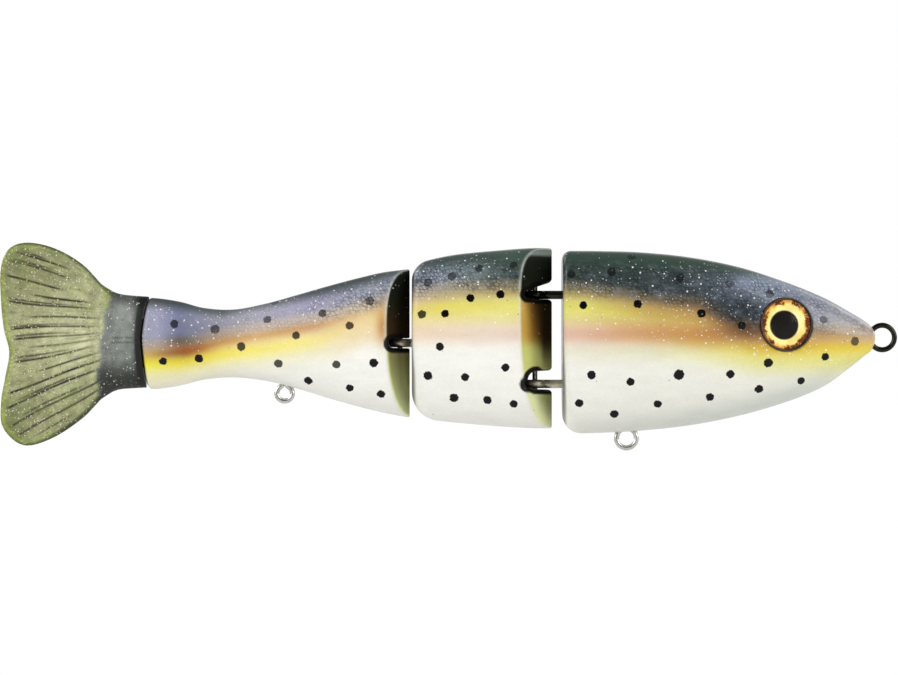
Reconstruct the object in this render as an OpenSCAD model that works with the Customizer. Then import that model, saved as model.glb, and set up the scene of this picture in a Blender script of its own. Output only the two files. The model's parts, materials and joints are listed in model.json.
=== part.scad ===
// Three-piece jointed swimbait with a soft tail.
// Millimetres. The origin is the centre of the line tie's ring, +X points out of the nose,
// +Z is the back and the fish lies along -X.

/* [Body] */
// Length of the head section, nose to rear face
head_l = 73.5; // [68:0.5:80]
// Length of the middle section, ridge of its wedge to rear face
mid_l = 33.1; // [31:0.1:37]
// Length of the tail section, ridge of its wedge to rear end
tail_l = 62.9; // [58:0.1:68]
// Greatest height of the body
body_h = 43; // [40:0.5:46]
// Greatest width of the body
body_w = 22.2; // [20.5:0.1:24]

/* [Joints] */
// Free length between the head's rear face and the middle section's ridge
front_gap = 2.2; // [1.8:0.1:3]
// Free length between the middle section's rear face and the tail section's ridge
rear_gap = 0.3; // [0.3:0.1:1]
// Depth of the wedge for each millimetre of half width, middle section
front_wedge = 0.742; // [0.65:0.01:0.8]
// Depth of the wedge for each millimetre of half width, tail section
rear_wedge = 0.663; // [0.6:0.01:0.75]
// Distance from the middle section's ridge back to its hinge pin
front_pin_back = 4.2; // [4:0.1:4.6]
// Distance from the tail section's ridge back to its hinge pin
rear_pin_back = 2.5; // [2.4:0.1:3]
// Diameter of a hinge pin
pin_d = 1.2; // [1:0.1:1.3]
// Height of a hinge slot
slot_h = 4.5; // [4.3:0.1:5]

/* [Wire] */
// Wire diameter of a hinge eye
hinge_wire_d = 2; // [1.8:0.1:2.1]
// Outer diameter of a hinge eye's ring
hinge_ring_d = 5.5; // [5.3:0.1:5.6]
// Wire diameter of the line tie and the hook hangers
eye_wire_d = 1.25; // [1.1:0.05:1.4]
// Outer diameter of the line tie's ring
tie_ring_d = 7; // [6.5:0.1:7.4]
// Outer diameter of the front hook hanger's ring
front_ring_d = 5.9; // [5.5:0.1:6.2]
// Outer diameter of the rear hook hanger's ring
rear_ring_d = 4.9; // [4.7:0.1:5.4]

/* [Eyes] */
// Diameter of an eye
eye_d = 11.8; // [11:0.1:12]
// Angle by which an eye looks forward
eye_turn = 11; // [8:1:14]

/* [Tail] */
// Thickness of the tail fin
fin_t = 2.4; // [2:0.1:2.6]
// Thickness of the tail boot's tab
tab_t = 2.6; // [2.4:0.1:3]

/* [Hidden] */

$fn = 64;
far = 60;                                // reach of a cutter past the body
fit = 0.02;                              // radial room of a pin or slug in its bore

// Where each piece starts, along X.
nose_x = -1.7;
head_rear = nose_x - head_l;
mid_ridge = head_rear - front_gap;
mid_rear = mid_ridge - mid_l;
tail_ridge = mid_rear - rear_gap;
tail_rear = tail_ridge - tail_l;
front_pin_x = mid_ridge - front_pin_back;
rear_pin_x = tail_ridge - rear_pin_back;
flex_x = tail_rear - 8.5;                // the line that the fin bends about

// Heights of the hinge eyes, and of the slots that they move in.
upper_eye_z = 10;
lower_eye_z = -10.9;
rear_eye_z = -1.3;
upper_slot_z = 11.05;
lower_slot_z = -10;
rear_slot_z = -1.75;

// How much taller and wider the body is than the one that the stations below describe.
tall = body_h / 43;
wide = body_w / 22.2;

// Stations along a section: [share of its length from the front, top, bottom, half width, fullness].
// Fullness 0 is an ellipse, 1 a boxy section with a deep back.
head_stations = [
    [0,     1.4,   -1.4,   1.5,  0],
    [0.012, 2.6,   -3.05,  2.7,  0],
    [0.034, 3.9,   -4.35,  3.9,  0.05],
    [0.086, 6.2,   -7.4,   5.6,  0.1],
    [0.162, 9.3,   -11.4,  7.3,  0.2],
    [0.278, 12.8,  -15.0,  9.15, 0.4],
    [0.431, 16.45, -18.3,  10.5, 0.6],
    [0.59,  18.8,  -20.6,  11.0, 0.8],
    [0.751, 20.0,  -21.9,  11.1, 0.95],
    [0.879, 20.3,  -22.4,  11.0, 1],
    [1,     20.35, -22.6,  10.8, 1]
];
mid_stations = [
    [0,    20.9,  -21.35, 10.8, 1],
    [0.15, 21.0,  -21.3,  10.7, 0.95],
    [0.37, 20.5,  -20.9,  10.4, 0.85],
    [0.66, 19.6,  -20.1,  9.9,  0.65],
    [0.83, 18.6,  -19.5,  9.5,  0.5],
    [1,    17.1,  -18.9,  9.1,  0.4]
];
tail_stations = [
    [0,    16.1,  -18.9,  8.85, 0.4],
    [0.1,  15.35, -17.7,  8.6,  0.35],
    [0.21, 13.75, -16.0,  8.0,  0.3],
    [0.32, 11.9,  -14.0,  7.25, 0.25],
    [0.43, 9.9,   -11.9,  6.4,  0.2],
    [0.54, 8.0,   -10.2,  5.6,  0.15],
    [0.66, 6.6,   -9.4,   5.1,  0.1],
    [0.77, 6.95,  -9.9,   4.9,  0.1],
    [0.86, 8.4,   -11.3,  4.9,  0.1],
    [0.94, 9.2,   -12.05, 4.9,  0.1],
    [1,    9.4,   -12.1,  4.8,  0.1]
];
// How far each section's rear end is rounded: [along the top, down; along the belly, up; along the side, in].
head_round = [2, 2, 4.7, 4.7, 1, 1];
mid_round = [3.5, 3.5, 6, 6, 1.5, 1.2];
tail_round = [2.2, 7.5, 2.2, 7.5, 1.4, 1.2];

// ---- Curves ----

// The segment of a station list that holds t.
function segment(st, t, i = 0) = i >= len(st) - 2 || t <= st[i + 1][0] ? i : segment(st, t, i + 1);

// Slope of column c at station i.
function slope(st, c, i) =
    let (a = max(i - 1, 0), b = min(i + 1, len(st) - 1))
    (st[b][c] - st[a][c]) / (st[b][0] - st[a][0]);

// Column c at t, on a smooth curve through the stations.
function along(st, c, t) =
    let (i = segment(st, t), h = st[i + 1][0] - st[i][0], u = (t - st[i][0]) / h)
    (2 * u^3 - 3 * u^2 + 1) * st[i][c] + (u^3 - 2 * u^2 + u) * h * slope(st, c, i)
    + (3 * u^2 - 2 * u^3) * st[i + 1][c] + (u^3 - u^2) * h * slope(st, c, i + 1);

// Inset of an edge rounded over reach and depth, at a distance from the end face.
function rounded(distance, reach, depth) =
    distance >= reach ? 0 : depth * (1 - sqrt(1 - (1 - distance / reach)^2));

// A signed power, for superellipses.
function power(v, p) = sign(v) * pow(abs(v), p);

// One cross-section at x: a superellipse whose back is fuller than its belly.
function section_ring(x, top, bottom, half_w, full, n) =
    let (
        mid_z = top - (0.46 - 0.16 * full) * (top - bottom),
        back_power = 2 / (2.1 + 1.3 * full),
        belly_power = 2 / (2.1 + 0.4 * full)
    )
    [for (i = [0 : n - 1])
        let (
            a = 360 * (i + 0.5) / n,
            p = a < 180 ? back_power : belly_power,
            h = a < 180 ? top - mid_z : mid_z - bottom
        )
        [x, half_w * power(cos(a), p), mid_z + h * power(sin(a), p)]];

// The ring of a section at share t of its length, its rear end rounded.
function body_ring(st, front, length, round, t, n) =
    let (
        d = (1 - t) * length,
        top = tall * along(st, 1, t) - rounded(d, round[0], round[1]),
        bottom = tall * along(st, 2, t) + rounded(d, round[2], round[3]),
        half_w = wide * along(st, 3, t) - rounded(d, round[4], round[5])
    )
    section_ring(front - t * length, top, bottom, half_w, along(st, 4, t), n);

// A closed solid through a list of rings that have the same number of points.
module loft(rings) {
    n = len(rings[0]);
    m = len(rings);
    sides = [for (j = [0 : m - 2]) for (i = [0 : n - 1])
        let (a = j * n + i, b = j * n + (i + 1) % n)
        each [[a, b, b + n], [a, b + n, a + n]]];
    polyhedron(
        points = [for (r = rings) each r],
        faces = concat([[for (i = [0 : n - 1]) n - 1 - i]], sides, [[for (i = [0 : n - 1]) (m - 1) * n + i]])
    );
}

// Shares of the length at which rings are drawn: closer at a blunt front and at the rounded rear.
function shares(count, bunch, length, rear) = concat(
    [for (i = [0 : count - 1]) (1 - rear / length) * pow(i / count, bunch)],
    [for (i = [0 : 5]) 1 - rear / length * pow(1 - i / 5, 2)]
);

module body_blank(st, front, length, round, count, bunch, n = 36) {
    loft([for (t = shares(count, bunch, length, max(round[0], round[2])))
        body_ring(st, front, length, round, t, n)]);
}

module head_blank() body_blank(head_stations, nose_x, head_l, head_round, 16, 1.6);
module mid_blank() body_blank(mid_stations, mid_ridge, mid_l, mid_round, 7, 1);
module tail_blank() body_blank(tail_stations, tail_ridge, tail_l, tail_round, 17, 1);

// ---- Cutters ----

// A wedge with its ridge at x, wide enough to keep everything behind its two faces.
module wedge(ridge, depth_per_width) {
    back = ridge - 2 * far;
    flank = ridge - depth_per_width * far;
    translate([0, 0, -far])
        linear_extrude(2 * far)
            polygon([[ridge, 0], [flank, far], [back, far], [back, -far], [flank, -far]]);
}

// A hinge slot cut right across a wedge: a round back end that opens out to the ridge.
slot_back = 3.7;                         // from the pin to the slot's back end
module hinge_slot(back, mouth, z) {
    r = slot_h / 2;
    flare = 0.4;                         // extra half height at the mouth
    translate([0, far, z])
        rotate([90, 0, 0])
            linear_extrude(2 * far)
                union() {
                    translate([back + r, 0]) circle(r);
                    polygon([[back + r, -r], [mouth + 1, -r - flare], [mouth + 1, r + flare], [back + r, r]]);
                }
}

// A vertical round hole or bar between two heights.
module upright(x, r, low, high) {
    translate([x, 0, low]) cylinder(h = high - low, r = r);
}

// Places its children on an eye's seat: z runs out of the flank, side is -1 for the right eye.
eye_x = nose_x - 21.6;
eye_z = 3.05;
eye_floor = 7.75 * wide;                 // from the middle plane to the seat's floor
module on_eye_seat(side) {
    translate([eye_x, side * eye_floor, eye_z])
        rotate([0, 0, side * (90 - eye_turn)])
            rotate([0, 90, 0])
                children();
}

// ---- Hardware ----

// A screw eye: ring at the origin in the XY plane, shank along +X with a rolled thread at its end.
thread_l = 9;
thread_pitch = 0.9;
module screw_eye(ring_d, wire_d, shank_l) {
    ring_r = (ring_d - wire_d) / 2;
    shank_r = 0.94 * wire_d / 2;
    root_r = 0.72 * wire_d / 2;
    turns = floor(thread_l / thread_pitch) - 1;
    thread_start = shank_l - (turns + 1) * thread_pitch;
    profile = concat(
        [[0, 0], [shank_r, 0], [shank_r, thread_start]],
        [for (i = [0 : turns - 1]) each [
            [root_r, thread_start + (i + 0.5) * thread_pitch],
            [shank_r, thread_start + (i + 1) * thread_pitch]]],
        [[0, shank_l]]
    );
    rotate_extrude() translate([ring_r, 0]) circle(d = wire_d, $fn = 48);
    translate([ring_r, 0, 0])
        rotate([0, 90, 0])
            rotate_extrude()
                polygon([for (p = profile) [p[0], max(p[1], 0)]]);
}

// The hole that a screw eye's shank fills, from the ring's middle to the shank's end.
module shank_hole(ring_d, wire_d, shank_l) {
    rotate([0, 90, 0]) cylinder(h = (ring_d - wire_d) / 2 + shank_l + 0.3, r = 0.94 * wire_d / 2 + fit);
}

// The same with a groove for the part of the ring that the coat buries.
module buried_eye_hole(ring_d, wire_d, shank_l) {
    rotate_extrude() translate([(ring_d - wire_d) / 2, 0]) circle(wire_d / 2 + fit, $fn = 48);
    shank_hole(ring_d, wire_d, shank_l);
}

hinge_shank_l = 17;
tie_shank_l = 15;
hanger_shank_l = 15;
front_ring_x = head_rear + 15.1;
front_ring_z = -23.6 * tall;
rear_ring_x = tail_ridge - 29.6;
rear_ring_z = -13.1 * tall;

module at_line_tie() rotate([90, 0, 180]) children();
module hanging(x, z) translate([x, 0, z]) rotate([0, -90, 0]) rotate([90, 0, 0]) children();
module at_front_hanger() hanging(front_ring_x, front_ring_z) children();
module at_rear_hanger() hanging(rear_ring_x, rear_ring_z) children();
module at_upper_eye() translate([front_pin_x, 0, upper_eye_z]) children();
module at_lower_eye() translate([front_pin_x, 0, lower_eye_z]) children();
module at_rear_eye() translate([rear_pin_x, 0, rear_eye_z]) children();

module hinge_eye() screw_eye(hinge_ring_d, hinge_wire_d, hinge_shank_l);
module hinge_eye_hole() shank_hole(hinge_ring_d, hinge_wire_d, hinge_shank_l);

// ---- Ballast, pins and plugs ----

// Each slug stands in a hole drilled up from the belly, with a plug under it.
slug_r = 4;
small_slug_r = 3;
slug_l = 9;
head_slug_x = [nose_x - 32.3, nose_x - 45.3];
head_slug_low = [-15.2 * tall, -17.7 * tall];
mid_slug_x = mid_ridge - 16.6;
mid_slug_low = -17.6 * tall;
tail_slug_x = tail_ridge - 16.2;
tail_slug_low = -12 * tall;

// Heights between which each pin lies.
pin_r = pin_d / 2;
front_pin_low = -17.5;
front_pin_high = 17.5;
rear_pin_low = -13.5;
rear_pin_high = 12;
boot_pin_low = -9;
boot_pin_high = 5.5;
boot_pin_x = tail_rear + 6;

// ---- Head ----

module head_section() color("khaki")
    difference() {
        head_blank();
        for (side = [-1, 1]) on_eye_seat(side) cylinder(h = 10, d = eye_d + 0.5);
        at_line_tie() buried_eye_hole(tie_ring_d, eye_wire_d, tie_shank_l);
        at_front_hanger() buried_eye_hole(front_ring_d, eye_wire_d, hanger_shank_l);
        at_upper_eye() hinge_eye_hole();
        at_lower_eye() hinge_eye_hole();
        for (i = [0, 1]) upright(head_slug_x[i], slug_r + fit, -far, head_slug_low[i] + slug_l + fit);
    }

module line_tie() color("dimgray") at_line_tie() screw_eye(tie_ring_d, eye_wire_d, tie_shank_l);
module front_hook_hanger() color("silver")
    at_front_hanger() screw_eye(front_ring_d, eye_wire_d, hanger_shank_l);
module upper_hinge_eye() color("dimgray") at_upper_eye() hinge_eye();
module lower_hinge_eye() color("silver") at_lower_eye() hinge_eye();

foil_t = 0.5;
dome_h = 2;
module eye_foil(side) color("gold") on_eye_seat(side) cylinder(h = foil_t, d = eye_d);
module eye_dome(side) color("white", 0.4)
    on_eye_seat(side)
        translate([0, 0, foil_t])
            intersection() {
                cylinder(h = dome_h, d = eye_d);
                sphere_r = (dome_h^2 + (eye_d / 2)^2) / (2 * dome_h);
                translate([0, 0, dome_h - sphere_r]) sphere(r = sphere_r);
            }

module head_ballast() color("gray")
    for (i = [0, 1]) upright(head_slug_x[i], slug_r, head_slug_low[i], head_slug_low[i] + slug_l);

module head_ballast_plugs() color("white")
    for (i = [0, 1])
        intersection() {
            head_blank();
            upright(head_slug_x[i], slug_r, -far, head_slug_low[i] - fit);
        }

// ---- Middle section ----

module middle_section() color("khaki")
    difference() {
        intersection() {
            mid_blank();
            wedge(mid_ridge, front_wedge);
        }
        for (z = [upper_slot_z, lower_slot_z]) hinge_slot(front_pin_x - slot_back, mid_ridge, z);
        upright(front_pin_x, pin_r + fit, -far, front_pin_high + fit);
        at_rear_eye() hinge_eye_hole();
        upright(mid_slug_x, slug_r + fit, -far, mid_slug_low + slug_l + fit);
    }

module front_hinge_pin() color("silver") upright(front_pin_x, pin_r, front_pin_low, front_pin_high);

module front_pin_plug() color("white")
    intersection() {
        mid_blank();
        upright(front_pin_x, pin_r, -far, front_pin_low - fit);
    }

module rear_hinge_eye() color("silver") at_rear_eye() hinge_eye();

module middle_ballast() color("gray") upright(mid_slug_x, slug_r, mid_slug_low, mid_slug_low + slug_l);

module middle_ballast_plug() color("white")
    intersection() {
        mid_blank();
        upright(mid_slug_x, slug_r, -far, mid_slug_low - fit);
    }

// ---- Tail section ----

// The boot's tab goes into a slot in the tail section's end.
tab_l = 11.5;
tab_h = 11.6;
tab_z = -1.4;
tab_room = 0.1;

module tail_section() color("khaki")
    difference() {
        intersection() {
            tail_blank();
            wedge(tail_ridge, rear_wedge);
        }
        hinge_slot(rear_pin_x - slot_back, tail_ridge, rear_slot_z);
        upright(rear_pin_x, pin_r + fit, -far, rear_pin_high + fit);
        at_rear_hanger() buried_eye_hole(rear_ring_d, eye_wire_d, hanger_shank_l);
        upright(tail_slug_x, small_slug_r + fit, -far, tail_slug_low + slug_l + fit);
        upright(boot_pin_x, pin_r + fit, -far, boot_pin_high + fit);
        translate([tail_rear - 1, -tab_t / 2 - tab_room, tab_z - tab_h / 2 - tab_room])
            cube([tab_l + 1 + tab_room, tab_t + 2 * tab_room, tab_h + 2 * tab_room]);
    }

module rear_hinge_pin() color("silver") upright(rear_pin_x, pin_r, rear_pin_low, rear_pin_high);

module rear_pin_plug() color("white")
    intersection() {
        tail_blank();
        upright(rear_pin_x, pin_r, -far, rear_pin_low - fit);
    }

module rear_hook_hanger() color("silver")
    at_rear_hanger() screw_eye(rear_ring_d, eye_wire_d, hanger_shank_l);

module tail_ballast() color("gray") upright(tail_slug_x, small_slug_r, tail_slug_low, tail_slug_low + slug_l);

module tail_ballast_plug() color("white")
    intersection() {
        tail_blank();
        upright(tail_slug_x, small_slug_r, -far, tail_slug_low - fit);
    }

module boot_pin() color("silver") upright(boot_pin_x, pin_r, boot_pin_low, boot_pin_high);

module boot_pin_plug() color("white")
    intersection() {
        tail_blank();
        upright(boot_pin_x, pin_r, -far, boot_pin_low - fit);
    }

// ---- Soft tail ----

// Rings of the boot: [share of its length from the front, top, bottom, half thickness].
boot_stations = [
    [0,    9.6,  -11.75, 4.5],
    [0.33, 9.8,  -11.9,  4.1],
    [0.65, 10.1, -12.1,  3.1],
    [0.87, 10.9, -12.8,  2.1],
    [1,    12.0, -13.9,  1.7]
];
boot_gap = 0.5;                          // between the boot and the tail section's domed end
boot_front = tail_rear + 1.5;            // the boot's lips reach round the dome
boot_l = boot_front - flex_x - 0.4;
root_r = 1.5;                            // half thickness of the fin's root
root_room = 0.15;

boot_rings = 10;
function boot_ring(t) = section_ring(
    boot_front - t * boot_l,
    along(boot_stations, 1, t),
    along(boot_stations, 2, t),
    along(boot_stations, 3, t),
    0.1, 36
);

module tail_boot() color("darkslategray")
    difference() {
        union() {
            difference() {
                loft([for (i = [0 : boot_rings - 1]) boot_ring(i / (boot_rings - 1))]);
                translate([-boot_gap, 0, 0]) tail_blank();
            }
            translate([tail_rear - 2, -tab_t / 2, tab_z - tab_h / 2]) cube([tab_l + 2, tab_t, tab_h]);
        }
        upright(flex_x, root_r + root_room, -far, far);
        upright(boot_pin_x, pin_r + fit, -far, far);
    }

// Outline of the fin as [distance behind the line it bends about, Z], round its two lobes and the fork.
fin_outline = [
    [0, 11.3], [5.6, 17.1], [12.1, 20.9], [18.6, 22.3],
    [23, 20.8], [24.9, 16.2], [24.9, 9.5], [24.2, 2.2],
    [22.9, -3.4], [23.8, -9], [24.8, -15], [24.4, -21.1],
    [19.6, -25.3], [12.9, -23.7], [5.6, -18.9], [0, -13.2]
];

// A point of a smooth open curve through a list of 2D points, at share u of the segment from i.
function curve_point(p, i, u) =
    let (
        a = p[max(i - 1, 0)], b = p[i], c = p[i + 1], d = p[min(i + 2, len(p) - 1)],
        m0 = (c - a) / 2, m1 = (d - b) / 2
    )
    (2 * u^3 - 3 * u^2 + 1) * b + (u^3 - 2 * u^2 + u) * m0 + (3 * u^2 - 2 * u^3) * c + (u^3 - u^2) * m1;

module tail_fin() color("darkkhaki")
    union() {
        last = len(fin_outline) - 1;
        outline = [
            for (i = [0 : last - 1]) for (s = [0 : 2]) curve_point(fin_outline, i, s / 3),
            fin_outline[last]
        ];
        translate([flex_x, fin_t / 2, 0])
            rotate([90, 0, 0])
                linear_extrude(fin_t)
                    polygon([for (p = outline) [-p[0], p[1]]]);
        upright(flex_x, root_r, fin_outline[last][1], fin_outline[0][1]);
    }

head_section();
line_tie();
front_hook_hanger();
upper_hinge_eye();
lower_hinge_eye();
eye_foil(-1);  // right_eye_foil
eye_dome(-1);  // right_eye_dome
eye_foil(1);  // left_eye_foil
eye_dome(1);  // left_eye_dome
head_ballast();
head_ballast_plugs();
middle_section();
front_hinge_pin();
front_pin_plug();
rear_hinge_eye();
middle_ballast();
middle_ballast_plug();
tail_section();
rear_hinge_pin();
rear_pin_plug();
rear_hook_hanger();
tail_ballast();
tail_ballast_plug();
boot_pin();
boot_pin_plug();
tail_boot();
tail_fin();
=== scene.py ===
"""Looks of a three-piece jointed swimbait with a soft tail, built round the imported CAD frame.

The body sections and the soft tail are lofted in millimetres as signed distances, meshed on a grid and painted
point by point like a lure: pearl base, airbrushed bands, scale net, glitter, dots and a thick clear coat.
"""

import json
import math
from itertools import product

import bpy
import numpy as np
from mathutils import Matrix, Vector


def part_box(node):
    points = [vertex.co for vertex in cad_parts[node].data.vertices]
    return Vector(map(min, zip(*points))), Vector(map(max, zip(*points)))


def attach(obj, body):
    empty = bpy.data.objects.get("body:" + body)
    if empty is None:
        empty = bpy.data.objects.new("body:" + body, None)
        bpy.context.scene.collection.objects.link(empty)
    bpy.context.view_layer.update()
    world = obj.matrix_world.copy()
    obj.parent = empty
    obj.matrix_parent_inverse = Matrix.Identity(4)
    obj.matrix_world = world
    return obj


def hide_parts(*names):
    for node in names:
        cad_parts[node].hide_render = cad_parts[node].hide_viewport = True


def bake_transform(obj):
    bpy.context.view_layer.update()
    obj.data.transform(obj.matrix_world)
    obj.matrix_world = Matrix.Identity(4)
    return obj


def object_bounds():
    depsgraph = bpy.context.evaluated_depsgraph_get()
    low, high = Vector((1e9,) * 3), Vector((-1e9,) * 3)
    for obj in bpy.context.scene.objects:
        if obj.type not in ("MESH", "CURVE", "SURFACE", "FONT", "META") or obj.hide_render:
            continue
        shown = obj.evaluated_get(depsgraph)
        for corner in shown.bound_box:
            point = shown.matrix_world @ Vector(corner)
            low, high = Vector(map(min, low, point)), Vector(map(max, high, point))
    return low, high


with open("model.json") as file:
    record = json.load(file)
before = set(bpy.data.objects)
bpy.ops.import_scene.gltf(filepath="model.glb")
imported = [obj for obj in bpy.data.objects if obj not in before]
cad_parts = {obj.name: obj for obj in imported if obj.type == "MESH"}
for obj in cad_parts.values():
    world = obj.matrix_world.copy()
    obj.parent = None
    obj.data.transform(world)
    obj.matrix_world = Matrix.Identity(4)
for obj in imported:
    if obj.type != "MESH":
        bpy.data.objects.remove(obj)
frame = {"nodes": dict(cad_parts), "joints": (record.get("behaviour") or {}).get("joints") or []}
CAD_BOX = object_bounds()

MM = 0.001


def box_mm(node):
    """Lowest and highest corner of a CAD node in millimetres."""
    low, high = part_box(node)
    return np.array(low) / MM, np.array(high) / MM


def joint_x(name):
    """Where a joint stands along X, in millimetres."""
    joint = next(j for j in frame["joints"] if j["name"] == name)
    return joint["pos_m"][0] / MM


# ---------------------------------------------------------------- places taken from the frame

HEAD_LOW, HEAD_HIGH = box_mm("head_section")
MID_LOW, MID_HIGH = box_mm("middle_section")
TAIL_LOW, TAIL_HIGH = box_mm("tail_section")
FIN_LOW, FIN_HIGH = box_mm("tail_fin")
BOOT_FRONT = TAIL_LOW[0] + 1.5          # the boot's lips reach round the tail section's domed end
BOOT_GAP = 0.55                         # how far they stay behind it
FRONT_PIN_X = joint_x("front_joint")
REAR_PIN_X = joint_x("rear_joint")
FLEX_X = joint_x("tail_flex")

# ---------------------------------------------------------------- shape of the body

# Stations along a section: share of its length, top, bottom, half width, fullness (0 ellipse, 1 boxy).
HEAD_STATIONS = [
    (0, 1.4, -1.4, 1.5, 0), (0.012, 2.6, -3.05, 2.7, 0), (0.034, 3.9, -4.35, 3.9, 0.05),
    (0.086, 6.2, -7.4, 5.6, 0.1), (0.162, 9.3, -11.4, 7.3, 0.2), (0.278, 12.8, -15, 9.15, 0.4),
    (0.431, 16.45, -18.3, 10.5, 0.6), (0.59, 18.8, -20.6, 11, 0.8), (0.751, 20, -21.9, 11.1, 0.95),
    (0.879, 20.3, -22.4, 11, 1), (1, 20.35, -22.6, 10.8, 1),
]
MID_STATIONS = [
    (0, 20.9, -21.35, 10.8, 1), (0.15, 21, -21.3, 10.7, 0.95), (0.37, 20.5, -20.9, 10.4, 0.85),
    (0.66, 19.6, -20.1, 9.9, 0.65), (0.83, 18.6, -19.5, 9.5, 0.5), (1, 17.1, -18.9, 9.1, 0.4),
]
TAIL_STATIONS = [
    (0, 16.1, -18.9, 8.85, 0.4), (0.1, 15.35, -17.7, 8.6, 0.35), (0.21, 13.75, -16, 8, 0.3),
    (0.32, 11.9, -14, 7.25, 0.25), (0.43, 9.9, -11.9, 6.4, 0.2), (0.54, 8, -10.2, 5.6, 0.15),
    (0.66, 6.6, -9.4, 5.1, 0.1), (0.77, 6.95, -9.9, 4.9, 0.1), (0.86, 8.4, -11.3, 4.9, 0.1),
    (0.94, 9.2, -12.05, 4.9, 0.1), (1, 9.4, -12.1, 4.8, 0.1),
]
BOOT_STATIONS = [
    (0, 9.6, -11.75, 4.5, 0.1), (0.33, 9.8, -11.9, 4.1, 0.1), (0.65, 10.1, -12.1, 3.1, 0.1),
    (0.87, 10.4, -12.3, 2.1, 0.1), (1, 10.9, -12.7, 1.7, 0.1),
]
# Rounding of a section's rear end: reach and depth along the top, the belly and the side.
HEAD_ROUND = (2, 2, 4.7, 4.7, 1, 1)
MID_ROUND = (3.5, 3.5, 6, 6, 1.5, 1.2)
TAIL_ROUND = (2.2, 7.5, 2.2, 7.5, 1.4, 1.2)

FRONT_WEDGE, REAR_WEDGE = 0.742, 0.663   # how far a wedge's faces run back for each mm of half width
RING_ROOM = 1.03                         # half height of the channel that a hinge eye's ring turns in
RING_BACK = 2.82                         # from a hinge pin to that channel's back end
CHOKE = 0.3                              # how much the channel narrows beside the ring, behind the pin
# A slot's wider part: height, half height, distance from the pin to its back end, how much it rises and how much it
# flares for each mm ahead, and how far the slot's edges are rounded.
UPPER_SLOT = (10.6, 1.3, 0.8, 0.16, 0.16, 0.85)
LOWER_SLOT = (-10.0, 2.1, 1.75, 0, 0.04, 0.85)
REAR_SLOT = (-1.4, RING_ROOM, 2.6, 0, 0, 0.4)
EDGE_R = 0.45                            # how far the paint rounds a cut edge
# The boot's tab inside the tail section: half width, height of its middle, half height, and its reach ahead.
TAB = (1.3, -1.4, 5.8, 11.5)
TAB_ROOM = 0.1
EYE_R = 5.9                              # radius of an eye's disc
EYE_TURN = 79                            # degrees that an eye looks aside from straight ahead
EYE_DROP = 0.25                          # how far an eye's seat lies under the middle of its CAD foil


def hermite(u, a, b, slope_a, slope_b):
    """Smooth curve from a to b as u goes from 0 to 1, with its slopes at both ends."""
    return ((2 * u**3 - 3 * u**2 + 1) * a + (u**3 - 2 * u**2 + u) * slope_a
            + (3 * u**2 - 2 * u**3) * b + (u**3 - u**2) * slope_b)


class Loft:
    """A body whose cross-sections are superellipses on smooth curves through stations."""

    WIDEST, WIDEST_BOXY = 0.46, 0.16                # share of its height from the top to the widest place, less if boxy
    POWER, BACK_FULL, BELLY_FULL = 2.1, 1.3, 0.4    # power of an oval section, and what fullness adds to it

    def __init__(self, front, length, stations, rounding=None):
        rows = np.array(stations, float)
        rows[:, 3] *= HEAD_HIGH[1] / 11.1
        last = len(rows) - 1
        before = np.maximum(np.arange(last + 1) - 1, 0)
        after = np.minimum(np.arange(last + 1) + 1, last)
        self.front, self.length, self.rounding = front, length, rounding
        self.share, self.values = rows[:, 0], rows[:, 1:]
        self.slopes = (self.values[after] - self.values[before]) / (self.share[after] - self.share[before])[:, None]

    def at(self, x):
        """Top, bottom, half width and fullness at x."""
        t = np.clip((self.front - x) / self.length, 0, 1)
        i = np.clip(np.searchsorted(self.share, t, side="right") - 1, 0, len(self.share) - 2)
        gap = (self.share[i + 1] - self.share[i])[..., None]
        u = (t - self.share[i])[..., None] / gap
        curve = hermite(u, self.values[i], self.values[i + 1], gap * self.slopes[i], gap * self.slopes[i + 1])
        return np.moveaxis(curve, -1, 0)

    def flank(self, x, y, z):
        """Distance outside the long surface, and how much a point belongs to the back or belly."""
        top, bottom, half, full = self.at(x)
        middle = top - (self.WIDEST - self.WIDEST_BOXY * full) * (top - bottom)
        above = z > middle
        power = self.POWER + np.where(above, self.BACK_FULL, self.BELLY_FULL) * full
        height = np.where(above, top - middle, middle - bottom)
        u, v = np.abs(y) / half, np.abs(z - middle) / height
        size = np.maximum((u**power + v**power) ** (1 / power), 0.02)
        slope = size ** (1 - power) * np.hypot(u ** (power - 1) / half, v ** (power - 1) / height)
        return (size - 1) / np.maximum(slope, 0.02), v**2 / (u**2 + v**2 + 1e-9), above

    def distance(self, x, y, z):
        """Distance outside the body with its rounded rear end."""
        out, upright, above = self.flank(x, y, z)
        if self.rounding is None:
            return out
        top_reach, top_depth, low_reach, low_depth, side_reach, side_depth = self.rounding
        reach = side_reach + upright * (np.where(above, top_reach, low_reach) - side_reach)
        depth = side_depth + upright * (np.where(above, top_depth, low_depth) - side_depth)
        ahead = x - (self.front - self.length)
        u, v = np.maximum(1 - ahead / reach, 0), np.maximum(1 + out / depth, 0)
        size = np.maximum(np.hypot(u, v), 1e-6)
        slope = np.maximum(np.hypot(u / reach, v / depth), 1e-6) / size
        return np.where(size > 1e-5, (size - 1) / slope, -np.minimum(reach, depth))


def both(a, b, r):
    """What lies inside both a and b, with an edge of radius r."""
    return np.minimum(np.maximum(a, b), -r) + np.hypot(np.maximum(a + r, 0), np.maximum(b + r, 0))


def either(a, b, r):
    """What lies inside a or b, with a fillet of radius r."""
    return -both(-a, -b, r)


def bounded(u, v=0, w=0):
    """Length of a vector given by its parts."""
    return np.sqrt(u * u + v * v + w * w)


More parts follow.
